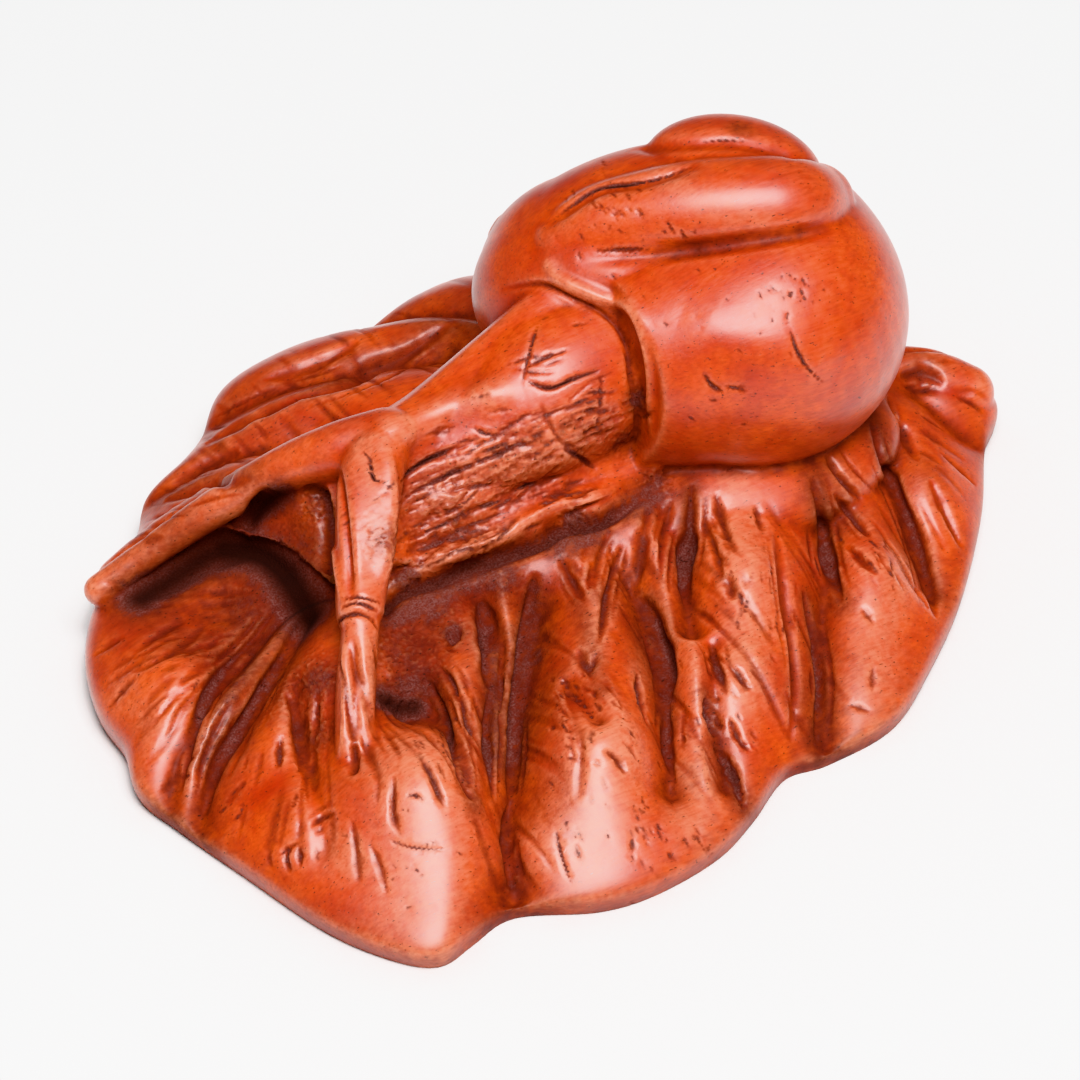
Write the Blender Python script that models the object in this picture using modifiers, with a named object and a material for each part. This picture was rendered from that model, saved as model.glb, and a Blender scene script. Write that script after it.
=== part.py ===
"""A netsuke in stained boxwood: a snail crossing a leaf, carved from one piece."""

import math

import bmesh
import bpy
import numpy as np
from mathutils import Matrix, Vector

# Driving dimensions, in millimetres. +X runs along the leaf, the snail's head is at -X, and the
# snail's left flank faces -Y. The origin is at the middle of the underside.
MM = 0.001
LEAF_LENGTH = 55.1
LEAF_WIDTH = 44.5
LEAF_RIM_FRONT = 2.3
LEAF_RIM_BACK = 5.2
LEAF_DOME = 4.4
LEAF_CENTRE = (0.0, 0.5)
# The rim starts to lift at this Y and is fully lifted this much further back
RIM_LIFT_FROM = -8.0
RIM_LIFT_OVER = 26.0
# How late the dome falls towards the rim, how sharply the rim rounds over, and the share of the
# way out to which the underside stays flat
DOME_POWER = 2.4
EDGE_POWER = 12
UNDER_FLAT = 0.84

# Carving resolution
VOXEL = 0.45
TRIANGLES = 9000

# Wood finish
WOOD_COLOUR = (0.56, 0.105, 0.03, 1.0)
WOOD_ROUGHNESS = 0.36

# Rim of the leaf seen from above, from the rolled stem end round by the back, the snail's head
# and the front. It is stretched to the leaf's length and width.
LEAF_RIM = [
    (27.6, 0.0), (27.4, 2.9), (25.4, 5.4), (23.0, 10.2), (18.6, 15.4), (12.6, 18.6), (7.0, 22.2),
    (3.0, 22.6), (-1.3, 21.7), (-3.2, 21.9), (-6.8, 21.9), (-10.2, 21.0), (-12.6, 18.4),
    (-14.6, 16.9), (-17.4, 15.6), (-19.2, 13.2), (-21.6, 11.4), (-24.0, 9.0), (-25.7, 6.2),
    (-26.6, 3.0), (-26.6, 0.0), (-27.3, -2.8), (-26.6, -5.5), (-25.2, -9.9), (-23.3, -15.8),
    (-21.2, -19.3), (-19.4, -20.7), (-17.3, -20.2), (-14.6, -19.6), (-10.6, -21.4), (-7.4, -21.8),
    (-3.4, -21.2), (-0.4, -19.8), (2.6, -18.0), (5.2, -18.2), (9.6, -17.6), (13.8, -14.8),
    (17.8, -11.4), (22.2, -6.6), (25.2, -2.4),
]

# Valleys between the lobes of the leaf: share of the greatest depth, half width, then points from
# the snail outwards
VALLEY_DEPTH = 2.6
VALLEY_CUSP = 1.2
LEAF_VALLEYS = [
    (0.58, 1.1, [(-13.6, 1.4), (-16.2, 2.1), (-20.0, 0.3), (-24.5, -2.7), (-27.0, -6.0)]),
    (0.69, 1.1, [(-15.4, 0.8), (-20.7, -3.1), (-23.7, -4.6), (-26.4, -7.6)]),
    (0.35, 0.8, [(-18.0, -2.7), (-20.1, -8.8), (-21.6, -13.0)]),
    (0.52, 0.9, [(-12.3, -6.8), (-13.4, -12.2), (-14.2, -14.6)]),
    (0.69, 1.2, [(-7.2, -3.4), (-7.8, -6.7), (-10.6, -10.1), (-13.1, -14.6)]),
    (0.98, 1.6, [(-4.8, -4.9), (-9.2, -10.8), (-12.5, -15.5), (-14.6, -20.0)]),
    (0.46, 0.9, [(-6.3, -10.6), (-6.4, -13.9)]),
    (0.81, 1.4, [(0.5, -5.5), (-1.5, -12.0), (-4.4, -17.7)]),
    (0.52, 1.0, [(1.9, -11.6), (0.3, -14.4), (-1.5, -18.5)]),
    (0.69, 1.2, [(6.5, -1.3), (3.6, -6.0), (1.6, -10.0)]),
    (0.75, 1.5, [(13.1, -3.7), (11.0, -8.5), (8.3, -12.0), (4.6, -18.6)]),
    (0.58, 1.2, [(18.0, -1.2), (17.0, -6.0), (15.6, -11.0)]),
    (0.46, 1.0, [(22.5, 0.5), (24.0, -2.0), (26.4, -3.2)]),
    (0.63, 1.7, [(0.2, 14.0), (-5.0, 16.0), (-11.6, 18.2)]),
    (0.58, 1.5, [(4.2, 16.0), (1.0, 19.6), (-1.6, 22.6)]),
    (0.52, 1.4, [(-9.1, 11.6), (-13.0, 13.8), (-18.6, 14.9)]),
    (0.52, 1.5, [(11.0, 14.5), (10.5, 17.6), (10.0, 21.0)]),
    (0.52, 1.5, [(18.0, 9.5), (20.0, 11.5), (21.5, 13.8)]),
]

# Hollows of the leaf beside the head: centre, reach, depth
LEAF_HOLLOWS = [((-18.4, 4.2), 4.4, 2.0), ((-13.6, -7.6), 1.8, 1.4), ((-11.0, -4.4), 2.6, 1.0)]
# Swells of the lobes between the valleys: centre, reach, height
LEAF_SWELLS = [((-16.4, -13.2), 3.4, 1.7), ((-6.6, -15.0), 3.0, 1.3), ((1.2, -13.4), 2.6, 1.2),
               ((6.0, -8.6), 2.4, 1.0), ((12.6, -10.4), 2.8, 1.1), ((-21.4, -11.2), 2.6, 1.1),
               ((-23.8, 0.2), 2.8, 0.9), ((19.4, -6.0), 2.4, 0.8), ((-12.6, -17.6), 2.0, 0.6)]
# Rolled stem end of the leaf: points with the radius there
STEM_ROLL = [((21.6, 3.4, 4.2), 1.5), ((24.2, 2.2, 3.3), 1.8), ((26.0, 0.9, 2.6), 1.6)]

# Neck and foot: back ridge, near edge and far edge of the foot from the head to inside the shell
NECK_RIDGE = [(-10.2, 4.0, 12.0), (-8.4, 4.3, 12.8), (-5.5, 4.9, 13.1), (-1.0, 5.6, 14.8),
              (2.2, 6.2, 16.0), (6.0, 6.6, 16.4)]
FOOT_NEAR = [(-11.6, 0.2, 6.4), (-10.2, -0.7, 6.5), (-7.0, -1.5, 6.8), (-2.5, -1.5, 7.0),
             (1.8, -1.2, 7.2), (6.0, -0.6, 7.2)]
FOOT_FAR = [(-11.6, 7.6, 5.6), (-10.2, 8.4, 5.6), (-7.0, 9.0, 5.6), (-2.5, 9.6, 5.8),
            (1.8, 10.0, 6.0), (6.0, 10.0, 6.0)]
# Fullness inside the neck, growing into the mouth of the shell
NECK_CORE = [((-8.0, 4.0, 8.6), 2.4), ((-3.0, 3.9, 9.8), 3.6), ((1.0, 4.2, 10.8), 4.6),
             ((6.0, 5.0, 11.2), 4.6)]
# Cross-section of the neck: share of the way across, share of the height
NECK_SECTION = [(-0.96, -0.45), (-1.03, -0.10), (-1.0, 0.04), (-0.88, 0.13), (-0.70, 0.34),
                (-0.46, 0.66), (-0.28, 0.87), (-0.12, 0.98), (0.12, 1.0), (0.40, 0.84),
                (0.62, 0.56), (0.84, 0.22), (1.0, 0.0), (0.96, -0.45)]

# Tentacles: points with the radius there, from the head to the tip
LEFT_TENTACLE = [((-8.6, 4.3, 11.6), 1.7), ((-11.0, 5.2, 11.2), 1.5), ((-13.6, 6.6, 9.9), 1.2),
                 ((-17.0, 8.0, 7.6), 1.0), ((-20.5, 8.8, 5.4), 0.85), ((-23.3, 9.1, 3.9), 0.85)]
RIGHT_TENTACLE = [((-8.4, 4.5, 11.0), 1.6), ((-10.1, 2.9, 11.3), 1.7), ((-11.7, 0.6, 10.4), 1.65),
                  ((-13.4, -1.9, 8.9), 1.4), ((-14.4, -3.5, 8.0), 1.25), ((-14.6, -3.9, 7.8), 1.0),
                  ((-16.4, -6.6, 6.0), 1.05), ((-17.8, -9.0, 4.6), 1.0)]

# Face between the tentacles: upper edge along the left one, lower edge above the leaf
FACE_UPPER = [(-9.8, 3.2, 12.2), (-11.6, 4.8, 11.4), (-13.6, 6.4, 10.2), (-15.6, 7.5, 8.9),
              (-17.6, 8.2, 7.5)]
FACE_LOWER = [(-12.8, -0.9, 8.6), (-13.8, 0.6, 6.6), (-14.2, 2.9, 6.4), (-14.8, 5.2, 6.4),
              (-17.2, 8.0, 6.6)]
# Wood left standing behind the left tentacle
LEFT_BACKING = [((-11.5, 7.6, 7.4), 2.4), ((-15.5, 9.5, 5.5), 1.8), ((-19.0, 10.3, 4.0), 1.4),
                ((-21.6, 10.3, 2.9), 1.2)]
FACE_HOLLOW = 1.1
FACE_THICKNESS = (4.0, 0.4, -1.6)

# Last whorl of the shell: points with the radius there, from before the mouth round behind
LAST_WHORL = [((0.6, 5.0, 11.0), 5.2), ((4.3, 4.2, 11.3), 5.5), ((8.7, 2.6, 11.8), 6.4),
              ((13.3, 1.8, 12.0), 7.3), ((15.2, 5.4, 12.1), 6.8), ((14.2, 9.6, 11.6), 6.1),
              ((10.5, 12.2, 10.8), 5.4), ((6.0, 12.0, 10.4), 4.9), ((2.6, 10.4, 10.4), 4.5)]
# The mouth of the last whorl: a point on its plane, and the way that it faces
MOUTH = ((4.3, 4.2, 11.2), (-1.0, 0.0, 0.1))
# Middle band, which lies over the last whorl and ends in a rounded nose above the mouth
MIDDLE_BAND = [((4.4, 7.9, 16.7), 1.9), ((6.2, 7.4, 17.6), 2.3), ((8.5, 6.2, 18.2), 2.6),
               ((10.8, 4.9, 18.6), 2.8), ((13.1, 3.6, 18.8), 2.8), ((15.1, 2.9, 18.6), 2.7),
               ((17.2, 3.7, 17.5), 2.2)]
# Upper whorl and apex: centre, radii, turn about Z and lift of the long axis in degrees
UPPER_WHORL = ((9.4, 7.5, 13.9), (9.8, 6.5, 6.1), -18.0, 11.0)
APEX = ((14.4, 7.4, 18.2), (4.9, 3.8, 2.6), -30.0, -8.0)
# Outer band of the shell that closes the mouth from behind
HOOD = ((6.6, 9.0, 12.6), (6.2, 6.0, 6.0))
# Lip of the mouth, an arch over the neck from the near side to the far side
LIP = [(4.6, -0.8, 6.6), (5.0, -0.2, 9.1), (5.3, 0.5, 11.2), (5.6, 1.8, 13.5), (5.3, 3.4, 14.9),
       (4.2, 5.0, 15.7), (3.2, 6.4, 16.1), (2.5, 8.0, 16.0), (2.2, 9.7, 15.2), (2.3, 11.2, 13.6),
       (2.6, 11.9, 11.6), (3.2, 11.6, 8.6)]
LIP_RADIUS = 0.7
# Swelling of the leaf that the shell sits on: centre, radii, turn and lift
SEAT = ((9.6, 2.0, 4.8), (11.0, 8.0, 3.2), -12.0, 0.0)

# Lines worked into the fused form: depth, half width, points. A negative depth is a raised line.
CREASES = [
    # under the middle band of the shell, over it, and below the apex
    (0.45, 0.6, [(3.7, 5.7, 17.5), (8.5, 3.1, 18.1), (13.6, 0.5, 19.0), (15.6, 0.4, 19.2)]),
    (0.45, 0.5, [(3.4, 8.3, 18.1), (6.5, 8.0, 19.7), (8.2, 6.7, 20.4), (10.9, 5.6, 21.2)]),
    (0.35, 0.5, [(10.0, 10.7, 19.2), (12.6, 7.9, 20.5), (14.9, 6.5, 20.4), (15.7, 3.4, 21.2)]),
    # inside the lip of the mouth
    (0.5, 0.5, [(0.8, 8.1, 15.2), (3.2, 4.9, 15.8), (4.5, 2.1, 14.5), (4.3, 0.1, 10.2), (3.4, -0.2, 8.3)]),
    # the near edge of the foot and the groove below it
    (-0.5, 0.7, [(-10.6, -0.6, 6.9), (-6.9, -1.6, 7.8), (-2.0, -1.4, 8.3), (2.8, -1.1, 7.5)]),
    (0.7, 0.6, [(-12.3, -2.1, 6.2), (-7.9, -1.3, 6.0), (-2.8, -1.9, 6.5), (4.1, -1.5, 7.1)]),
    # the hollow under the left tentacle
    (0.7, 0.9, [(-20.1, 7.4, 3.6), (-17.6, 7.4, 4.1), (-15.7, 6.5, 4.6), (-14.5, 4.4, 4.5)]),
]

# Underside: a pair of cord holes joined by a bowed channel
CORD_HOLES = [((-3.0, 4.0), 2.7), ((8.6, 5.6), 2.1)]
CHANNEL_DEPTH = 6.6
CHANNEL_BOW = 0.7
SPARE = 2.0
# Slab that levels the underside: its sides and its thickness
TABLE_SIZE = 80.0
TABLE_DEPTH = 10.0


def spline(points, steps, closed=False):
    """Return a smooth line through the points, with the given steps between two of them."""
    given = np.array(points, float)
    count = len(given)
    spans = count if closed else count - 1
    line = []
    for i in range(spans):
        if closed:
            a, b, c, d = (given[(i + k) % count] for k in (-1, 0, 1, 2))
        else:
            a, b, c, d = (given[min(max(i + k, 0), count - 1)] for k in (-1, 0, 1, 2))
        for step in range(steps):
            t = step / steps
            line.append(0.5 * (2 * b + (c - a) * t + (2 * a - 5 * b + 4 * c - d) * t * t
                               + (3 * b - a - 3 * c + d) * t ** 3))
    if not closed:
        line.append(given[-1])
    return np.array(line)


def distance_to_line(places, line):
    """Return each place's distance to a run of straight pieces."""
    nearest = np.full(len(places), np.inf)
    for start, end in zip(line[:-1], line[1:]):
        along = end - start
        share = np.clip((places - start) @ along / (along @ along), 0.0, 1.0)
        gap = np.linalg.norm(places - (start + share[:, None] * along), axis=1)
        nearest = np.minimum(nearest, gap)
    return nearest


def rim_table():
    """Return the rim's bearings from the leaf's centre, sorted, and its distance at each."""
    line = spline(LEAF_RIM, 12, closed=True)
    line = line * (LEAF_LENGTH, LEAF_WIDTH) / np.ptp(line, axis=0) - LEAF_CENTRE
    bearing = np.arctan2(line[:, 1], line[:, 0])
    order = np.argsort(bearing)
    return bearing[order], np.hypot(line[:, 0], line[:, 1])[order]


def rim_height(y):
    """Return the height of the leaf's edge, which lifts towards the back."""
    share = np.clip((y - RIM_LIFT_FROM) / RIM_LIFT_OVER, 0.0, 1.0)
    return LEAF_RIM_FRONT + (LEAF_RIM_BACK - LEAF_RIM_FRONT) * share


def cut_depth(x, y):
    """Return how deep the valleys cut into the leaf at each place, less the swells of the lobes."""
    places = np.column_stack((x, y))
    depth = np.zeros(len(x))
    for cut, half_width, points in LEAF_VALLEYS:
        gap = distance_to_line(places, spline(points, 5))
        depth = np.maximum(depth, VALLEY_DEPTH * cut * np.exp(-(gap / half_width) ** VALLEY_CUSP))
    for centre, reach, hollow in LEAF_HOLLOWS:
        gap = np.linalg.norm(places - centre, axis=1)
        depth = depth + hollow * np.exp(-(gap / reach) ** 2)
    for centre, reach, height in LEAF_SWELLS:
        gap = np.linalg.norm(places - centre, axis=1)
        depth = depth - height * np.exp(-(gap / reach) ** 2)
    return depth


def add_object(name, mesh):
    """Link a mesh to the scene as a new object."""
    piece = bpy.data.objects.new(name, mesh)
    bpy.context.scene.collection.objects.link(piece)
    return piece


def mesh_points(mesh):
    """Return a mesh's vertices in millimetres."""
    flat = np.empty(len(mesh.vertices) * 3)
    mesh.vertices.foreach_get("co", flat)
    return flat.reshape(-1, 3) / MM


def set_mesh_points(mesh, points):
    """Move a mesh's vertices to the given points, in millimetres."""
    mesh.vertices.foreach_set("co", (points * MM).ravel())
    mesh.update()


def leaf():
    """A sphere drawn out into the domed leaf, with its lobes, valleys and thick rounded rim."""
    bpy.ops.mesh.primitive_uv_sphere_add(segments=220, ring_count=120, radius=MM)
    piece = bpy.context.object
    unit = mesh_points(piece.data)
    unit = unit / np.linalg.norm(unit, axis=1)[:, None]
    bearing = np.arctan2(unit[:, 1], unit[:, 0])
    share = np.sqrt(np.clip(1.0 - unit[:, 2] ** 2, 0.0, 1.0))
    angles, distances = rim_table()
    rim = np.interp(bearing, angles, distances, period=2 * math.pi)
    x = LEAF_CENTRE[0] + share * rim * np.cos(bearing)
    y = LEAF_CENTRE[1] + share * rim * np.sin(bearing)
    edge = rim_height(y)
    middle = 0.5 * edge
    crown = edge + LEAF_DOME * (1.0 - share ** DOME_POWER) - cut_depth(x, y)
    top = middle + (crown - middle) * np.sqrt(1.0 - share ** EDGE_POWER)
    under = np.clip((share - UNDER_FLAT) / (1.0 - UNDER_FLAT), 0.0, 1.0)
    bottom = middle - (middle + SPARE) * np.sqrt(1.0 - under ** 2)
    z = np.where(unit[:, 2] >= 0.0, top, bottom)
    set_mesh_points(piece.data, np.column_stack((x, y, z)))
    return piece


def loft(name, rows):
    """Skin a run of closed sections, all with the same number of points, and cap its ends."""
    shape = bmesh.new()
    rings = [[shape.verts.new(Vector(point) * MM) for point in row] for row in rows]
    count = len(rings[0])
    for near, far in zip(rings[:-1], rings[1:]):
        for i in range(count):
            j = (i + 1) % count
            shape.faces.new((near[i], near[j], far[j], far[i]))
    shape.faces.new(rings[0])
    shape.faces.new(rings[-1])
    bmesh.ops.recalc_face_normals(shape, faces=shape.faces)
    mesh = bpy.data.meshes.new(name)
    shape.to_mesh(mesh)
    shape.free()
    return add_object(name, mesh)


def neck():
    """The neck and foot, from the head to inside the shell."""
    ridge = spline(NECK_RIDGE, 6)
    near = spline(FOOT_NEAR, 6)
    far = spline(FOOT_FAR, 6)
    section = spline(NECK_SECTION, 4)
    rows = []
    for top, left, right in zip(ridge, near, far):
        row = []
        for across, up in section:
            foot = left if across < 0.0 else right
            point = top + abs(across) * (foot - top)
            point[2] = foot[2] + up * (top[2] - foot[2])
            row.append(point)
        rows.append(row)
    return loft("neck", rows)


def face():
    """The hollow face between the tentacles, backed by the head."""
    upper = spline(FACE_UPPER, 4)
    lower = spline(FACE_LOWER, 4)
    back = np.array(FACE_THICKNESS)
    inward = back / np.linalg.norm(back)
    rows = []
    for a, b in zip(upper, lower):
        front = [a + (b - a) * t + inward * FACE_HOLLOW * math.sin(math.pi * t)
                 for t in np.linspace(0.0, 1.0, 9)]
        rows.append(front + [point + back for point in reversed(front)])
    return loft("face", rows)


def trim_to_mouth(piece):
    """Cut the last whorl off flat where its mouth opens over the neck."""
    place, facing = MOUTH
    shape = bmesh.new()
    shape.from_mesh(piece.data)
    bmesh.ops.bisect_plane(shape, geom=shape.verts[:] + shape.edges[:] + shape.faces[:],
                           plane_co=Vector(place) * MM, plane_no=Vector(facing), clear_outer=True)
    rim = [edge for edge in shape.edges if edge.is_boundary]
    bmesh.ops.contextual_create(shape, geom=rim)
    bmesh.ops.recalc_face_normals(shape, faces=shape.faces)
    shape.to_mesh(piece.data)
    shape.free()


def tube(name, stations, rounded=True, steps=6, resolution=14):
    """A curve with a round section whose radius changes from point to point."""
    line = spline([(*place, radius) for place, radius in stations], steps)
    curve = bpy.data.curves.new(name, "CURVE")
    curve.dimensions = "3D"
    curve.bevel_depth = MM
    curve.bevel_resolution = resolution
    curve.use_fill_caps = True
    path = curve.splines.new("POLY")
    path.points.add(len(line) - 1)
    for point, (x, y, z, radius) in zip(path.points, line):
        point.co = (x * MM, y * MM, z * MM, 1.0)
        point.radius = radius
    drawn = add_object(name, curve)
    bpy.context.view_layer.update()
    mesh = bpy.data.meshes.new_from_object(drawn.evaluated_get(bpy.context.evaluated_depsgraph_get()))
    bpy.data.objects.remove(drawn)
    bpy.data.curves.remove(curve)
    piece = add_object(name, mesh)
    if rounded:
        ball(name + "_start", stations[0][0], (stations[0][1],) * 3)
        ball(name + "_end", stations[-1][0], (stations[-1][1],) * 3)
    return piece


def ball(name, centre, radii, turn=0.0, lift=0.0):
    """A sphere stretched to three radii, turned about Z and with its long axis lifted."""
    bpy.ops.mesh.primitive_uv_sphere_add(segments=64, ring_count=32, radius=MM)
    piece = bpy.context.object
    piece.name = name
    place = (Matrix.Translation(Vector(centre) * MM) @ Matrix.Rotation(math.radians(turn), 4, "Z")
             @ Matrix.Rotation(math.radians(-lift), 4, "Y") @ Matrix.Diagonal((*radii, 1.0)))
    piece.data.transform(place)
    return piece


def shell():
    """The whorls of the shell and the raised lip of its mouth."""
    trim_to_mouth(tube("last_whorl", LAST_WHORL, rounded=False))
    tube("middle_band", MIDDLE_BAND)
    ball("upper_whorl", *UPPER_WHORL)
    ball("apex", *APEX)
    ball("hood", *HOOD)
    ball("seat", *SEAT)
    tube("lip", [(place, LIP_RADIUS) for place in LIP])


def set_modifier(piece, kind, **settings):
    """Give a piece a modifier with the given settings."""
    modifier = piece.modifiers.new(kind.lower(), kind)
    for name, value in settings.items():
        setattr(modifier, name, value)
    return modifier


def apply_modifiers(piece):
    """Turn a piece's modifiers into its mesh."""
    bpy.context.view_layer.update()
    evaluated = piece.evaluated_get(bpy.context.evaluated_depsgraph_get())
    shaped = bpy.data.meshes.new_from_object(evaluated)
    piece.modifiers.clear()
    piece.data = shaped


def fuse(name):
    """Join everything made so far into one carved body and soften the joins a little."""
    pieces = [piece for piece in bpy.data.objects if piece.type == "MESH"]
    bpy.ops.object.select_all(action="DESELECT")
    for piece in pieces:
        piece.select_set(True)
    bpy.context.view_layer.objects.active = pieces[0]
    bpy.ops.object.join()
    body = bpy.context.object
    body.name = name
    body.data.name = name
    set_modifier(body, "REMESH", mode="VOXEL", voxel_size=VOXEL * MM)
    set_modifier(body, "SMOOTH", factor=0.5, iterations=2)
    apply_modifiers(body)
    return body


def cut_creases(body):
    """Press the creases into the body along its own surface."""
    points = mesh_points(body.data)
    facing = np.array([vertex.normal for vertex in body.data.vertices])
    for depth, half_width, line in CREASES:
        gap = distance_to_line(points, spline(line, 5))
        points = points - facing * (depth * np.exp(-(gap / half_width) ** 2))[:, None]
    set_mesh_points(body.data, points)


def cutters(body):
    """The slab that levels the underside and the bowed channel between the cord holes."""
    bpy.ops.mesh.primitive_cube_add(size=1.0, location=(0.0, 0.0, -0.5 * TABLE_DEPTH * MM))
    slab = bpy.context.object
    slab.name = "table_cutter"
    slab.scale = (TABLE_SIZE * MM, TABLE_SIZE * MM, TABLE_DEPTH * MM)
    (first, wide), (last, narrow) = CORD_HOLES
    bow = []
    for share in np.linspace(0.0, 1.0, 9):
        x, y = (first[k] + (last[k] - first[k]) * share for k in (0, 1))
        z = (CHANNEL_DEPTH + SPARE) * math.sin(math.pi * share) ** CHANNEL_BOW - SPARE
        bow.append(((x, y, z), wide + (narrow - wide) * share))
    channel = tube("channel_cutter", bow, rounded=False, steps=1, resolution=4)
    for cutter in (slab, channel):
        cutter.display_type = "WIRE"
        cutter.hide_render = True
        set_modifier(body, "BOOLEAN", object=cutter, operation="DIFFERENCE", solver="EXACT")
    return slab, channel


def boxwood():
    """Stained and waxed boxwood."""
    wood = bpy.data.materials.new("stained_boxwood")
    wood.use_nodes = True
    surface = wood.node_tree.nodes["Principled BSDF"]
    surface.inputs["Base Color"].default_value = WOOD_COLOUR
    surface.inputs["Roughness"].default_value = WOOD_ROUGHNESS
    surface.inputs["Metallic"].default_value = 0.0
    return wood


def gather(name, pieces):
    """Move the pieces into a collection of their own."""
    group = bpy.data.collections.new(name)
    bpy.context.scene.collection.children.link(group)
    for piece in pieces:
        for holder in list(piece.users_collection):
            holder.objects.unlink(piece)
        group.objects.link(piece)


def main():
    for old in list(bpy.data.objects):
        bpy.data.objects.remove(old)
    leaf()
    neck()
    tube("neck_core", NECK_CORE)
    face()
    tube("left_backing", LEFT_BACKING)
    tube("left_tentacle", LEFT_TENTACLE)
    tube("right_tentacle", RIGHT_TENTACLE)
    tube("stem_roll", STEM_ROLL)
    shell()
    body = fuse("snail_on_leaf")
    cut_creases(body)
    faces = len(body.data.polygons) * 2
    set_modifier(body, "DECIMATE", ratio=TRIANGLES / faces)
    apply_modifiers(body)
    body.data.shade_smooth()
    body.data.materials.clear()
    body.data.materials.append(boxwood())
    gather("cutters", cutters(body))
    gather("netsuke", [body])


main()
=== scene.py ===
"""Looks for the netsuke: a snail crossing a leaf, carved from one piece of boxwood, stained and
waxed, on a pale studio floor."""

import math

import bmesh
import bpy
import numpy as np
from bpy.props import FloatProperty, FloatVectorProperty, PointerProperty
from mathutils import Matrix, Vector
from mathutils.bvhtree import BVHTree
from mathutils.kdtree import KDTree


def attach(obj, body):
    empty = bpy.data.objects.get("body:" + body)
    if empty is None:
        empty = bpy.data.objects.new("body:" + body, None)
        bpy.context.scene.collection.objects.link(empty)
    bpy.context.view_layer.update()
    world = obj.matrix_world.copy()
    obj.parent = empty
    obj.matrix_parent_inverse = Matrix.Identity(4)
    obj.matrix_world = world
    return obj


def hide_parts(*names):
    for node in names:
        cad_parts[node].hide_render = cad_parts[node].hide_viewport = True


bl_info = {
    "name": "Snail on Leaf Netsuke",
    "version": (1, 0, 0),
    "blender": (4, 5, 0),
    "location": "3D View > Sidebar > Netsuke",
    "description": "Carves a boxwood snail on a leaf and sets it in a small studio",
    "category": "Add Mesh",
}

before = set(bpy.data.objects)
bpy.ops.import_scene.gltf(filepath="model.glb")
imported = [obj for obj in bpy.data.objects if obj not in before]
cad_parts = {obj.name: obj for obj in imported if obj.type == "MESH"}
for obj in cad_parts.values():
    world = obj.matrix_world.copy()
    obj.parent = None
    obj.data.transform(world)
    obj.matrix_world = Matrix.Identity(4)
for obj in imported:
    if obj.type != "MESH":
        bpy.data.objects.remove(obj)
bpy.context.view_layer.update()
CAD_NODE = "snail_on_leaf"
BODY = "root"

# Lengths below are in millimetres. +X runs along the leaf, the snail's head is at -X, and the
# snail's left flank faces -Y.
MM = 0.001
LEAF_CENTRE = (0.0, 0.5)
LEAF_RIM_FRONT = 2.3
LEAF_RIM_BACK = 5.2
# Where the rim starts to lift towards the back, and over what length it does
RIM_LIFT = (-8.0, 26.0)
# How square the dome and the rim's upper edge are, and where the underside turns up to the rim
DOME_POWER = 2.4
RIM_POWER = 12
UNDER_EDGE = (0.84, 0.16)

# Grain of the carved mesh, the most triangles that it keeps and the spare wood under the leaf
# until it is cut level
VOXEL = 0.17
MOST_TRIANGLES = 192000
UNDER_SPARE = 2.0

# Rim of the leaf seen from above, from the rolled stem end round by the back, the snail's head
# and the front
LEAF_RIM = [
    (27.6, 0.0), (27.4, 2.9), (25.4, 5.4), (23.0, 10.2), (18.6, 15.4), (12.6, 18.6), (7.0, 22.2),
    (3.0, 22.6), (-1.3, 21.7), (-3.2, 21.9), (-6.8, 21.9), (-10.2, 21.0), (-12.6, 18.4),
    (-14.6, 16.9), (-17.4, 15.6), (-19.2, 13.2), (-21.6, 11.4), (-24.0, 9.0), (-25.7, 6.2),
    (-26.6, 3.0), (-26.6, 0.0), (-27.3, -2.8), (-26.6, -5.5), (-25.2, -9.9), (-23.3, -15.8),
    (-21.2, -19.3), (-19.4, -20.7), (-17.3, -20.2), (-14.6, -19.6), (-10.6, -21.4), (-7.4, -21.8),
    (-3.4, -21.2), (-0.4, -19.8), (2.6, -18.0), (5.2, -18.2), (9.6, -17.6), (13.8, -14.8),
    (17.8, -11.4), (22.2, -6.6), (25.2, -2.4),
]

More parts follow.
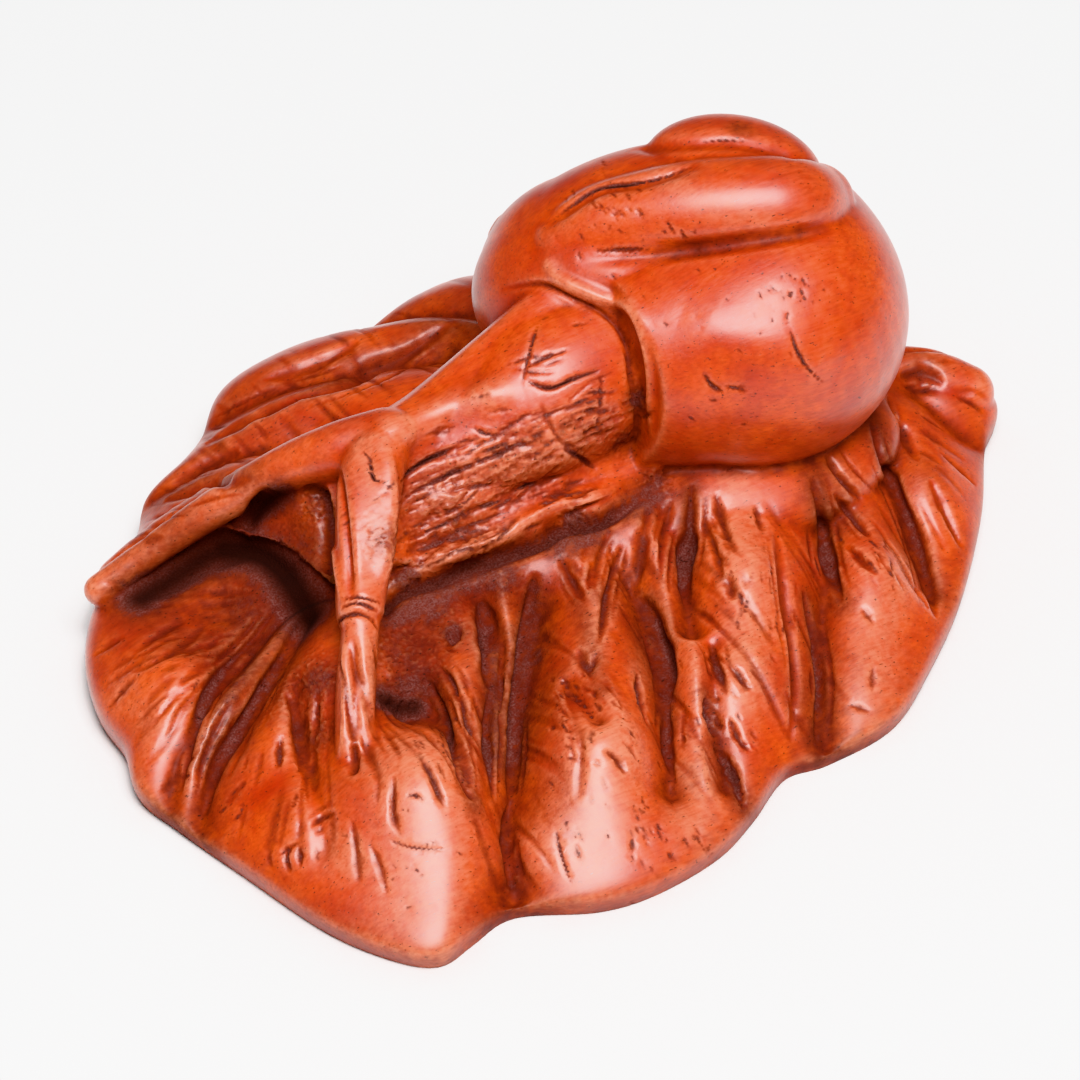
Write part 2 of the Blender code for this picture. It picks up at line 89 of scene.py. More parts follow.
# Valleys between the lobes of the leaf: share of the greatest depth, half width, then points from
# the snail outwards
LEAF_VALLEYS = [
    (0.58, 1.1, [(-13.6, 1.4), (-16.2, 2.1), (-20.0, 0.3), (-24.5, -2.7), (-27.0, -6.0)]),
    (0.69, 1.1, [(-15.4, 0.8), (-20.7, -3.1), (-23.7, -4.6), (-26.4, -7.6)]),
    (0.35, 0.8, [(-18.0, -2.7), (-20.1, -8.8), (-21.6, -13.0)]),
    (0.52, 0.9, [(-12.3, -6.8), (-13.4, -12.2), (-14.2, -14.6)]),
    (0.69, 1.2, [(-7.2, -3.4), (-7.8, -6.7), (-10.6, -10.1), (-13.1, -14.6)]),
    (0.98, 1.6, [(-4.8, -4.9), (-9.2, -10.8), (-12.5, -15.5), (-14.6, -20.0)]),
    (0.46, 0.9, [(-6.3, -10.6), (-6.4, -13.9)]),
    (0.81, 1.4, [(0.5, -5.5), (-1.5, -12.0), (-4.4, -17.7)]),
    (0.52, 1.0, [(1.9, -11.6), (0.3, -14.4), (-1.5, -18.5)]),
    (0.69, 1.2, [(6.5, -1.3), (3.6, -6.0), (1.6, -10.0)]),
    (0.75, 1.5, [(13.1, -3.7), (11.0, -8.5), (8.3, -12.0), (4.6, -18.6)]),
    (0.58, 1.2, [(18.0, -1.2), (17.0, -6.0), (15.6, -11.0)]),
    (0.46, 1.0, [(22.5, 0.5), (24.0, -2.0), (26.4, -3.2)]),
    (0.63, 1.7, [(0.2, 14.0), (-5.0, 16.0), (-11.6, 18.2)]),
    (0.58, 1.5, [(4.2, 16.0), (1.0, 19.6), (-1.6, 22.6)]),
    (0.52, 1.4, [(-9.1, 11.6), (-13.0, 13.8), (-18.6, 14.9)]),
    (0.52, 1.5, [(11.0, 14.5), (10.5, 17.6), (10.0, 21.0)]),
    (0.52, 1.5, [(18.0, 9.5), (20.0, 11.5), (21.5, 13.8)]),
]

# How far a valley reaches, in half widths, and how round it is
VALLEY_REACH = 3.5
VALLEY_POWER = 1.2
# Hollows of the leaf beside the head: centre, reach, depth
LEAF_HOLLOWS = [((-18.4, 4.2), 4.4, 2.0), ((-13.6, -7.6), 1.8, 1.4), ((-11.0, -4.4), 2.6, 1.0)]
# Swells of the lobes between the valleys: centre, reach, height
LEAF_SWELLS = [((-16.4, -13.2), 3.4, 1.7), ((-6.6, -15.0), 3.0, 1.3), ((1.2, -13.4), 2.6, 1.2),
               ((6.0, -8.6), 2.4, 1.0), ((12.6, -10.4), 2.8, 1.1), ((-21.4, -11.2), 2.6, 1.1),
               ((-23.8, 0.2), 2.8, 0.9), ((19.4, -6.0), 2.4, 0.8), ((-12.6, -17.6), 2.0, 0.6)]

# Neck and foot: back ridge, near edge and far edge of the foot from the head to inside the shell
NECK_RIDGE = [(-10.2, 4.0, 12.0), (-8.4, 4.3, 12.8), (-5.5, 4.9, 13.1), (-1.0, 5.6, 14.8),
              (2.2, 6.2, 16.0), (6.0, 6.6, 16.4)]
FOOT_NEAR = [(-11.6, 0.2, 6.4), (-10.2, -0.7, 6.5), (-7.0, -1.5, 6.8), (-2.5, -1.5, 7.0),
             (1.8, -1.2, 7.2), (6.0, -0.6, 7.2)]
FOOT_FAR = [(-11.6, 7.6, 5.6), (-10.2, 8.4, 5.6), (-7.0, 9.0, 5.6), (-2.5, 9.6, 5.8),
            (1.8, 10.0, 6.0), (6.0, 10.0, 6.0)]
# Fullness inside the neck, growing into the mouth of the shell
NECK_CORE = [((-8.0, 4.0, 8.6), 2.4), ((-3.0, 3.9, 9.8), 3.6), ((1.0, 4.2, 10.8), 4.6),
             ((6.0, 5.0, 11.2), 4.6)]
# Cross-section of the neck: share of the way across, share of the height
NECK_SECTION = [(-0.96, -0.45), (-1.03, -0.10), (-1.0, 0.04), (-0.88, 0.13), (-0.70, 0.34),
                (-0.46, 0.66), (-0.28, 0.87), (-0.12, 0.98), (0.12, 1.0), (0.40, 0.84),
                (0.62, 0.56), (0.84, 0.22), (1.0, 0.0), (0.96, -0.45)]

# Tentacles: points with the radius there, from the head to the tip
LEFT_TENTACLE = [((-8.6, 4.3, 11.6), 1.7), ((-11.0, 5.2, 11.2), 1.5), ((-13.6, 6.6, 9.9), 1.2),
                 ((-17.0, 8.0, 7.6), 1.0), ((-20.5, 8.8, 5.4), 0.85), ((-23.3, 9.1, 3.9), 0.85)]
RIGHT_TENTACLE = [((-8.4, 4.5, 11.0), 1.6), ((-10.1, 2.9, 11.3), 1.7), ((-11.7, 0.6, 10.4), 1.65),
                  ((-13.4, -1.9, 8.9), 1.4), ((-14.4, -3.5, 8.0), 1.25), ((-14.6, -3.9, 7.8), 1.0),
                  ((-16.4, -6.6, 6.0), 1.05), ((-17.8, -9.0, 4.6), 1.0)]

# Face between the tentacles: upper edge along the left one, lower edge above the leaf
FACE_UPPER = [(-9.8, 3.2, 12.2), (-11.6, 4.8, 11.4), (-13.6, 6.4, 10.2), (-15.6, 7.5, 8.9),
              (-17.6, 8.2, 7.5)]
FACE_LOWER = [(-12.8, -0.9, 8.6), (-13.8, 0.6, 6.6), (-14.2, 2.9, 6.4), (-14.8, 5.2, 6.4),
              (-17.2, 8.0, 6.6)]
# Wood left standing behind the left tentacle
LEFT_BACKING = [((-11.5, 7.6, 7.4), 2.4), ((-15.5, 9.5, 5.5), 1.8), ((-19.0, 10.3, 4.0), 1.4),
                ((-21.6, 10.3, 2.9), 1.2)]
# Depth of the hollow in the face, the wood behind it, and how many points run across it
FACE_HOLLOW = 1.1
FACE_THICKNESS = (4.0, 0.4, -1.6)
FACE_STEPS = 17

# Last whorl of the shell: points with the radius there, from before the mouth round behind
LAST_WHORL = [((0.6, 5.0, 11.0), 5.2), ((4.3, 4.2, 11.3), 5.5), ((8.7, 2.6, 11.8), 6.4),
              ((13.3, 1.8, 12.0), 7.3), ((15.2, 5.4, 12.1), 6.8), ((14.2, 9.6, 11.6), 6.1),
              ((10.5, 12.2, 10.8), 5.4), ((6.0, 12.0, 10.4), 4.9), ((2.6, 10.4, 10.4), 4.5)]
# The mouth of the last whorl: a point on its plane, and the way that it faces
MOUTH = ((4.3, 4.2, 11.2), (-1.0, 0.0, 0.1))
# Middle band, which lies over the last whorl and ends in a rounded nose above the mouth
MIDDLE_BAND = [((4.4, 7.9, 16.7), 1.9), ((6.2, 7.4, 17.6), 2.3), ((8.5, 6.2, 18.2), 2.6),
               ((10.8, 4.9, 18.6), 2.8), ((13.1, 3.6, 18.8), 2.8), ((15.1, 2.9, 18.6), 2.7),
               ((17.2, 3.7, 17.5), 2.2)]
# Upper whorl and apex: centre, radii, turn about Z and lift of the long axis in degrees
UPPER_WHORL = ((9.4, 7.5, 13.9), (9.8, 6.5, 6.1), -18.0, 11.0)
APEX = ((14.4, 7.4, 18.2), (4.9, 3.8, 2.6), -30.0, -8.0)
# Outer band of the shell that closes the mouth from behind
HOOD = ((6.6, 9.0, 12.6), (6.2, 6.0, 6.0))
# Lip of the mouth, an arch over the neck from the near side to the far side
LIP = [(4.6, -0.8, 6.6), (5.0, -0.2, 9.1), (5.3, 0.5, 11.2), (5.6, 1.8, 13.5), (5.3, 3.4, 14.9),
       (4.2, 5.0, 15.7), (3.2, 6.4, 16.1), (2.5, 8.0, 16.0), (2.2, 9.7, 15.2), (2.3, 11.2, 13.6),
       (2.6, 11.9, 11.6), (3.2, 11.6, 8.6)]
LIP_RADIUS = 0.7
# Swelling of the leaf that the shell sits on: centre, radii, turn and lift
SEAT = ((9.6, 2.0, 4.8), (11.0, 8.0, 3.2), -12.0, 0.0)

# Rolled stem end of the leaf: points with the radius there
STEM_ROLL = [((21.6, 3.4, 4.2), 1.5), ((24.2, 2.2, 3.3), 1.8), ((26.0, 0.9, 2.6), 1.6)]

# Underside: a pair of cord holes, each with its radius, joined by a bowed channel with its depth,
# the squareness of its bow and its number of points
CORD_HOLES = [((-3.0, 4.0), 2.7), ((8.6, 5.6), 2.1)]
CHANNEL_DEPTH = 6.6
CHANNEL_POWER = 0.7
CHANNEL_POINTS = 9

# The camera, in degrees and millimetres. The picture is square.
PICTURE = 1080
CAMERA_TARGET = (-3.5, -3.05, 8.0)
CAMERA_AZIMUTH = -30.0
CAMERA_ELEVATION = 42.0
CAMERA_DISTANCE = 270.0
CAMERA_LENS = 172.8
CAMERA_SENSOR = 36.0

# Relief is drawn as the camera sees it. Each line has a depth, a half width, a share of dark stain
# and then points in the picture's own pixels, which are laid on the wood. A negative depth is a
# raised line.

# Broad forms, worked before the cuts
BROAD_FORMS = [
    # the whorls of the shell: the suture, the crease above the middle band and the apex's edge
    (0.32, 0.50, 0.0,
     [(575, 262), (600, 258), (660, 254), (720, 247), (780, 238), (818, 229), (830, 212)]),
    (0.35, 0.50, 0.1, [(540, 232), (560, 214), (600, 189), (640, 182), (680, 170), (705, 164)]),
    (0.30, 0.50, 0.1, [(630, 150), (660, 146), (700, 143), (750, 145), (800, 160)]),
    # the mouth's lip and the groove inside it
    (0.26, 0.15, 0.30,
     [(500, 290), (540, 284), (575, 299), (605, 315), (624, 340), (631, 380), (637, 425), (624, 462)]),
    (-0.35, 0.35, 0.0,
     [(545, 250), (556, 276), (600, 297), (628, 306), (644, 335), (652, 380), (650, 440)]),
    # the ridge down the back of the neck
    (-0.45, 0.90, 0.0, [(366, 448), (400, 430), (440, 412), (480, 398), (520, 384)]),
    (-0.50, 1.60, 0.0, [(420, 520), (470, 490), (530, 462), (590, 440)]),
    # the frilled near edge of the foot and the groove under it, darkened with painted shadow
    (-0.70, 0.60, 0.0,
     [(398, 574), (430, 561), (470, 548), (510, 530), (550, 508), (590, 500), (625, 486)]),
    (0.95, 0.36, 1.0,
     [(384, 612), (402, 592), (450, 577), (500, 558), (540, 543), (562, 529), (604, 520), (654, 486)]),
    # the facets of the right tentacle: a thin ridge, a groove beside it and the cleft tip
    (0.34, 0.26, 0.1, [(338, 470), (344, 520), (349, 570), (351, 602)]),
    (-0.20, 0.24, 0.0, [(329, 478), (334, 540), (340, 602)]),
    (0.22, 0.80, 0.0, [(362, 440), (368, 500), (370, 560), (367, 600)]),
    (-0.30, 0.45, 0.0, [(384, 440), (392, 490), (390, 540), (382, 590)]),
    (0.26, 0.24, 0.1, [(353, 634), (356, 690), (357, 745)]),
    (-0.18, 0.20, 0.0, [(344, 640), (345, 700), (343, 752)]),
    (0.35, 0.24, 0.5, [(354, 742), (355, 756), (352, 776)]),
    # the hollow face and the undercut below the left tentacle, darkened with painted shade
    (0.90, 0.60, 1.0, [(236, 530), (252, 512), (278, 492)]),
    (0.80, 0.50, 0.9, [(300, 490), (322, 500), (330, 540), (331, 590)]),
    (0.80, 0.80, 1.0, [(132, 600), (168, 582), (210, 560), (250, 550), (284, 570), (304, 594)]),
    # the broad polished facet of the last whorl
    (-0.22, 1.60, 0.0, [(680, 318), (730, 336), (790, 352), (840, 372)]),
]

# Furrows: wide, dark-stained cuts in the valleys of the leaf
LEAF_FURROWS = [
    (0.45, 0.30, 0.8, [(278, 606), (252, 640), (226, 668), (204, 702), (190, 745), (180, 795)]),
    (0.35, 0.22, 0.5, [(262, 612), (238, 640), (214, 664)]),
    (0.50, 0.38, 0.8, [(305, 618), (284, 655), (258, 698), (234, 738), (216, 768), (204, 815)]),
    (0.25, 0.25, 0.4, [(232, 700), (214, 735), (196, 780)]),
    (0.35, 0.35, 0.6, [(286, 690), (298, 725), (302, 775)]),
    (0.25, 0.22, 0.5, [(318, 690), (314, 740)]),
    (0.30, 0.18, 0.8, [(281, 735), (278, 768)]),
    (0.45, 0.22, 1.0, [(425, 676), (440, 704), (450, 738), (460, 775), (471, 800)]),
    (0.30, 0.18, 0.8, [(438, 664), (452, 684), (458, 705)]),
    (0.45, 0.24, 0.9, [(458, 690), (468, 718), (481, 748)]),
    (0.60, 0.55, 0.9, [(482, 600), (488, 640), (490, 690)]),
    (0.35, 0.22, 0.9, [(490, 690), (486, 735), (492, 775), (494, 802)]),
    (0.35, 0.18, 0.7, [(503, 640), (500, 690), (503, 745)]),
    (0.75, 0.38, 1.0, [(536, 572), (526, 630), (518, 690), (514, 745), (510, 800)]),
    (0.40, 0.30, 0.6, [(510, 800), (506, 845), (512, 890)]),
    (0.35, 0.28, 0.6, [(560, 556), (574, 585), (584, 600)]),
    (0.30, 0.22, 0.4, [(594, 560), (588, 590)]),
    (0.40, 0.26, 0.7, [(622, 545), (612, 580), (604, 620), (598, 645)]),
    (0.35, 0.30, 0.7, [(578, 648), (588, 668), (598, 650)]),
    (0.80, 0.55, 1.0, [(640, 596), (656, 632), (666, 665), (668, 700)]),
    (0.35, 0.24, 0.7, [(668, 700), (667, 745), (675, 785)]),
    (0.35, 0.20, 0.9, [(637, 672), (641, 700), (648, 726)]),
    (0.60, 0.36, 0.9, [(692, 484), (690, 530), (684, 575), (686, 608)]),
    (0.35, 0.26, 0.6, [(704, 520), (714, 550), (722, 578)]),
    (0.30, 0.30, 0.5, [(727, 575), (733, 600)]),
    (0.35, 0.24, 0.8, [(712, 645), (717, 668), (727, 695)]),
    (0.28, 0.20, 0.7, [(733, 665), (744, 682), (753, 690)]),
    (0.50, 0.28, 1.0, [(706, 696), (711, 725), (716, 738)]),
    (0.45, 0.26, 1.0, [(714, 748), (726, 762), (738, 790), (744, 810)]),
    (0.25, 0.18, 0.7, [(730, 720), (738, 738), (750, 752)]),
    (0.55, 0.34, 0.8, [(812, 478), (822, 515), (828, 560), (842, 602)]),
    (0.45, 0.24, 0.7, [(826, 455), (840, 476), (862, 500)]),
    (0.40, 0.24, 0.7, [(834, 492), (850, 514), (870, 537)]),
    (0.30, 0.24, 0.5, [(846, 545), (862, 560), (876, 575)]),
    (0.60, 0.40, 0.7, [(872, 420), (884, 460), (900, 500), (918, 545), (930, 590), (936, 618)]),
    (0.35, 0.35, 0.4, [(888, 395), (905, 435), (918, 462)]),
    (0.30, 0.35, 0.3, [(930, 478), (950, 520), (962, 548)]),
    (0.30, 0.34, 0.6, [(650, 506), (642, 548), (637, 588)]),
    (0.26, 0.26, 0.5, [(672, 498), (664, 540), (660, 580)]),
    (0.22, 0.22, 0.5, [(610, 528), (600, 556), (594, 590)]),
    (0.30, 0.26, 0.6, [(716, 492), (722, 520), (735, 552)]),
    (0.45, 0.26, 0.8, [(803, 590), (814, 640), (820, 690), (816, 742)]),
    (0.35, 0.35, 0.4, [(776, 530), (786, 600), (796, 680), (790, 742)]),
    (0.20, 0.25, 0.4, [(755, 505), (763, 532)]),
    (0.14, 0.20, 0.4, [(862, 606), (874, 625)]),
    (0.12, 0.16, 0.4, [(873, 664), (872, 692)]),
    (0.10, 0.14, 0.4, [(848, 704), (872, 712)]),
    (0.20, 0.30, 0.5, [(207, 624), (182, 645), (150, 664), (130, 672)]),
    (0.14, 0.25, 0.3, [(188, 618), (160, 634), (132, 655)]),
    (0.16, 0.22, 0.3, [(196, 684), (172, 700), (150, 730)]),
    (0.14, 0.20, 0.3, [(214, 676), (186, 702), (166, 742)]),
    (0.30, 0.20, 0.9, [(420, 757), (432, 776), (444, 808)]),
    (0.22, 0.20, 0.6, [(394, 775), (393, 812), (400, 834)]),
    (0.16, 0.22, 0.5, [(352, 820), (356, 850), (360, 884)]),
    (0.12, 0.18, 0.4, [(370, 842), (380, 866), (388, 896)]),
    (0.18, 0.18, 0.6, [(311, 827), (322, 818), (336, 812)]),
    (0.22, 0.14, 0.8, [(292, 844), (286, 858), (291, 872)]),
    (0.20, 0.12, 0.7, [(299, 846), (301, 866)]),
    (0.20, 0.12, 0.7, [(280, 856), (288, 848), (298, 842)]),
    (0.12, 0.08, 1.0, [(556, 826), (560, 850), (571, 884)]),
    (0.25, 0.20, 0.6, [(604, 750), (616, 758), (627, 775)]),
    (0.20, 0.35, 0.3, [(566, 690), (580, 740), (578, 800)]),
    (0.45, 0.55, 0.7, [(444, 634), (462, 638)]),
    (0.45, 0.60, 0.9, [(386, 700), (404, 712), (416, 702)]),
    # folds of the leaf behind the snail
    (0.50, 0.55, 0.5, [(252, 478), (210, 484), (165, 500)]),
    (0.40, 0.60, 0.4, [(300, 396), (245, 420), (204, 444)]),
    (0.55, 0.65, 0.5, [(450, 322), (400, 358), (340, 384), (285, 400)]),
    (0.35, 0.50, 0.3, [(360, 340), (320, 362), (262, 380)]),
    (0.30, 0.50, 0.3, [(240, 450), (200, 466), (172, 490)]),
    # the rolled stem end
    (0.40, 0.50, 0.6, [(900, 376), (925, 374), (945, 384)]),
]

# Fine knife cuts, cracks and skin lines
FINE_CUTS = [
    # cracks and skin lines of the head and neck
    (0.12, 0.07, 1.0, [(362, 448), (370, 462), (373, 478), (384, 483), (396, 491)]),
    (0.28, 0.12, 1.0, [(400, 484), (412, 470), (435, 456), (455, 448), (476, 443)]),
    (0.32, 0.13, 1.0, [(402, 500), (425, 486), (450, 474), (484, 460), (520, 445), (548, 438)]),
    (0.22, 0.11, 1.0, [(524, 380), (550, 388), (575, 378), (602, 370)]),
    (0.15, 0.10, 0.8, [(527, 366), (548, 356), (568, 350)]),
    (0.14, 0.09, 0.8, [(538, 322), (530, 350), (522, 384)]),
    (0.12, 0.10, 0.8, [(474, 428), (486, 434), (500, 434)]),
    (0.28, 0.13, 1.0, [(497, 500), (522, 488), (548, 482)]),
    (0.25, 0.16, 0.9, [(560, 446), (580, 458), (597, 470)]),
    (0.14, 0.14, 0.8, [(582, 413), (602, 408)]),
    (0.18, 0.16, 0.8, [(404, 556), (440, 541), (470, 526), (498, 514)]),
    (0.15, 0.20, 0.6, [(440, 516), (462, 508)]),
    (0.15, 0.20, 0.6, [(478, 542), (500, 530), (520, 516)]),
    (0.14, 0.16, 0.5, [(540, 402), (560, 440), (590, 452)]),
    (0.12, 0.09, 0.8, [(600, 372), (601, 400), (596, 432)]),
    (0.10, 0.08, 0.7, [(580, 396), (592, 392), (604, 394)]),
    (0.12, 0.10, 0.8, [(470, 458), (500, 446), (522, 440)]),
    (0.14, 0.10, 0.9, [(432, 528), (464, 514), (500, 502), (530, 500)]),
    (0.16, 0.11, 0.9, [(408, 540), (440, 526), (476, 512)]),
    # rings round the joint of the right tentacle
    (0.18, 0.09, 0.9, [(341, 608), (358, 603), (379, 612)]),
    (0.14, 0.08, 0.8, [(342, 600), (359, 597), (381, 603)]),
    (0.22, 0.10, 0.9, [(336, 628), (342, 618), (358, 614), (372, 620), (378, 632)]),
    # nicks and cracks of the shell
    (0.10, 0.08, 0.9, [(786, 322), (797, 350), (806, 366), (824, 384)]),
    (0.14, 0.12, 0.8, [(703, 372), (712, 386), (724, 392)]),
    (0.10, 0.10, 0.7, [(724, 386), (748, 391)]),
    (0.12, 0.10, 0.6, [(592, 251), (620, 250), (652, 249)]),
    (0.10, 0.07, 0.6, [(700, 142), (725, 140), (748, 142)]),
    (0.14, 0.11, 1.0, [(551, 222), (570, 207), (598, 189), (632, 184), (662, 178), (697, 165)]),
    # cracks of the leaf
    (0.10, 0.07, 0.6, [(385, 838), (410, 847), (452, 850)]),
    (0.10, 0.08, 0.8, [(404, 797), (414, 795), (425, 801)]),
]

# Rows of short nicks across a line: nick length, spacing, angle in the picture, then depth, half
# width, stain and the line
NICK_ROWS = [
    ((8, 5, 62), 0.05, 0.05, 0.7, [(758, 290), (780, 292), (812, 300)]),
    ((7, 5, 70), 0.05, 0.05, 0.6, [(790, 280), (812, 284)]),
    ((14, 6, 58), 0.07, 0.08, 0.4, [(590, 205), (615, 212), (640, 210)]),
    ((12, 6, 66), 0.08, 0.07, 0.6, [(664, 232), (676, 228), (690, 236)]),
    ((12, 6, 20), 0.10, 0.07, 0.6, [(564, 684), (582, 704), (600, 728)]),
    ((12, 7, 15), 0.08, 0.07, 0.5, [(556, 706), (568, 730), (576, 765)]),
    ((9, 5, 10), 0.15, 0.09, 0.6, [(720, 755), (736, 782), (745, 806)]),
    ((8, 5, 5), 0.14, 0.09, 0.5, [(440, 712), (452, 745), (466, 790)]),
    ((13, 7, 75), 0.07, 0.06, 0.5, [(640, 800), (634, 830), (628, 868)]),
    ((13, 7, 60), 0.07, 0.06, 0.5, [(672, 842), (690, 838), (706, 850)]),
    ((12, 7, 35), 0.06, 0.06, 0.5, [(646, 806), (642, 832), (650, 850)]),
]

# How far a nick strays from its row, in the picture, the least and greatest share of its length and
# of its depth, and how much darker a thin cut is than a furrow
NICK_STRAY = 2.2
NICK_LENGTHS = (0.5, 1.3)
NICK_DEPTHS = (0.4, 1.0)
CUT_STAIN = 1.3

# Patches of stain and of painted shade, the darker ones roughened with grain-sized pits; those beside
# the tentacles, in the face, under the foot and by the lip are painted shade: centre in the picture,
# reach in millimetres, share of stain and shade and depth of the pits
STAIN_AND_SHADE_PATCHES = [
    ((392, 700), 1.0, 0.7, 0.08),
    ((408, 706), 1.0, 0.7, 0.08),
    ((404, 650), 2.0, 0.50, 0.05),
    ((412, 690), 1.5, 0.70, 0.05),
    ((430, 605), 1.6, 0.65, 0.04),
    ((500, 575), 1.6, 0.65, 0.03),
    ((318, 680), 1.3, 0.62, 0.04),
    ((318, 735), 1.2, 0.50, 0.04),
    ((250, 610), 2.0, 0.50, 0.02),
    ((318, 505), 1.0, 0.55, 0.06),
    ((300, 545), 1.9, 0.50, 0.03),
    ((530, 660), 1.3, 0.60, 0.03),
    ((508, 720), 1.2, 0.50, 0.03),
    ((488, 650), 1.0, 0.60, 0.03),
    ((575, 522), 0.9, 0.80, 0.10),
    ((408, 580), 1.0, 0.75, 0.08),
    ((622, 440), 1.1, 0.60, 0.04),
    ((638, 400), 0.9, 0.70, 0.06),
    ((655, 482), 0.8, 0.60, 0.06),
    ((452, 634), 0.8, 0.70, 0.06),
    ((664, 650), 1.0, 0.60, 0.03),
    ((512, 884), 0.5, 0.60, 0.05),
    ((440, 322), 2.2, 0.40, 0.0),
    ((928, 371), 1.1, 0.40, 0.0),
    ((740, 128), 0.8, 0.50, 0.0),
    ((545, 700), 2.8, 0.26, 0.0),
    ((552, 800), 2.4, 0.26, 0.0),
    ((655, 640), 2.0, 0.36, 0.0),
    ((225, 740), 2.6, 0.24, 0.0),
    ((305, 690), 2.2, 0.36, 0.03),
    ((690, 570), 1.8, 0.36, 0.0),
    ((690, 780), 1.4, 0.20, 0.0),
    ((840, 520), 1.8, 0.36, 0.0),
    ((900, 470), 2.2, 0.28, 0.0),
    ((800, 700), 1.6, 0.26, 0.0),
    ((590, 590), 1.6, 0.28, 0.0),
    ((460, 530), 2.6, 0.32, 0.04),
    ((440, 500), 2.6, 0.32, 0.03),
    ((520, 470), 2.6, 0.26, 0.03),
    ((590, 440), 2.2, 0.30, 0.03),
    ((390, 540), 1.4, 0.40, 0.04),
]

# Painted highlights, laid on as places rubbed pale: reach in millimetres, share, and a line in the
# picture
PAINTED_HIGHLIGHT_LINES = [
    (2.6, 0.75, [(420, 760), (424, 820), (420, 900)]),
    (1.4, 0.55, [(360, 860), (330, 850)]),
    (2.4, 0.80, [(612, 740), (598, 800), (575, 850)]),
    (1.5, 0.70, [(700, 770), (690, 820)]),
    (1.3, 0.65, [(736, 480), (748, 560), (750, 640), (742, 700)]),
    (1.6, 0.60, [(880, 610), (872, 680), (846, 740)]),
    (1.2, 0.55, [(905, 560), (890, 620)]),
    (0.8, 0.60, [(650, 610), (640, 680)]),
    (0.7, 0.60, [(600, 600), (590, 660)]),
    (0.8, 0.45, [(500, 640), (500, 760)]),
    (0.8, 0.60, [(360, 440), (374, 500), (370, 580)]),
    (0.6, 0.60, [(362, 630), (365, 730)]),
    (0.9, 0.50, [(390, 440), (440, 412), (500, 392)]),
    (1.8, 0.35, [(430, 500), (520, 460), (580, 430)]),
    (1.0, 0.45, [(430, 560), (520, 530)]),
    (0.9, 0.50, [(120, 590), (190, 552), (230, 520)]),
    (1.2, 0.35, [(120, 690), (160, 740)]),
    (0.7, 0.50, [(550, 268), (570, 288), (606, 304)]),
    (0.9, 0.35, [(660, 170), (700, 200), (760, 215)]),
]
# Painted shade and gathered stain, in the same way: painted shadow under the left tentacle, in the
# face, beside the right tentacle's tip and under the foot, and stain with painted shade in the deeper
# valleys of the leaf and in its back folds
SHADOW_AND_STAIN_LINES = [
    (1.5, 1.20, [(140, 600), (175, 578), (210, 556), (245, 546)]),
    (1.9, 1.25, [(225, 550), (262, 556), (290, 582), (312, 618)]),
    (1.0, 1.15, [(256, 517), (268, 503), (280, 492)]),
    (1.0, 1.15, [(384, 700), (398, 708), (414, 708)]),
    (1.3, 0.75, [(392, 618), (450, 588), (520, 558), (600, 530), (652, 496)]),
    (1.0, 0.60, [(482, 610), (490, 680), (496, 760)]),
    (1.2, 0.60, [(534, 590), (522, 680), (514, 760)]),
    (1.0, 0.60, [(650, 610), (666, 670), (668, 720)]),
    (0.9, 0.55, [(282, 616), (240, 680), (205, 760)]),
    (0.8, 0.50, [(690, 490), (686, 560), (686, 610)]),
    (0.9, 0.50, [(814, 480), (826, 550), (842, 605)]),
    (1.0, 0.50, [(874, 425), (900, 500), (932, 600)]),
    (0.8, 0.55, [(706, 696), (720, 760), (742, 808)]),
    (0.9, 0.50, [(430, 670), (456, 750), (474, 806)]),
    (0.8, 0.50, [(806, 600), (820, 680), (814, 742)]),
    (0.8, 0.40, [(562, 560), (590, 640), (602, 690)]),
    (1.2, 0.40, [(450, 322), (400, 358), (320, 392)]),
    (1.2, 0.40, [(252, 478), (200, 486), (165, 500)]),
]

# Finer cuts beside the furrows: least and greatest gap in the picture, half width, depth with no
# furrow and for each millimetre of the furrow's depth, and share of its stain
SIDE_CUT_GAPS = (7.0, 18.0)
SIDE_CUT_WIDTH = 0.13
SIDE_CUT_DEPTHS = (0.05, 0.12)
SIDE_CUT_STAIN = 0.6
# Short cuts that texture the skin: centre, reach and number, the angle that they run at and their
# length, all in the picture, and their greatest depth in millimetres
SCORED_PATCHES = [
    # the folded skin of the neck
    ((440, 510), 20, 40, -24, 50, 0.12), ((490, 480), 22, 50, -24, 50, 0.12),
    ((540, 455), 22, 40, -24, 50, 0.12), ((590, 420), 18, 34, -20, 40, 0.12),
    ((480, 430), 22, 14, -24, 40, 0.08), ((545, 365), 22, 12, -16, 40, 0.08),
    ((470, 535), 16, 30, -24, 50, 0.14), ((560, 490), 16, 24, -20, 40, 0.14),
    ((430, 548), 12, 20, -24, 40, 0.14),
    # the shell and the right tentacle
    ((620, 215), 30, 20, 58, 16, 0.04), ((690, 290), 40, 12, 60, 10, 0.03),
    ((800, 300), 26, 16, 64, 14, 0.04), ((730, 400), 50, 10, 20, 14, 0.03),
    ((350, 520), 16, 14, -30, 16, 0.03),
    # the lobes of the leaf
    ((590, 800), 40, 16, 70, 20, 0.04), ((420, 860), 34, 24, 10, 14, 0.03),
    ((720, 720), 26, 30, 60, 16, 0.10), ((580, 700), 22, 36, 55, 14, 0.12),
    ((770, 600), 26, 24, 80, 26, 0.08), ((650, 840), 26, 14, 60, 22, 0.05),
    ((440, 740), 16, 24, 60, 20, 0.08), ((880, 560), 26, 24, 60, 24, 0.08),
    ((250, 760), 26, 26, 110, 24, 0.08),
]
# How much the angle of such a cut varies, in degrees, the shares of the length from its middle to
# either end, then the least and greatest share of its depth and of the stain, and its half width
# for a depth of nothing and for each millimetre of depth
SCORE_TURN = 12.0
SCORE_LENGTHS = (0.2, 0.5)
SCORE_SHARES = ((0.4, 0.1), (1.0, 0.7))
SCORE_WIDTHS = (0.04, 0.7)

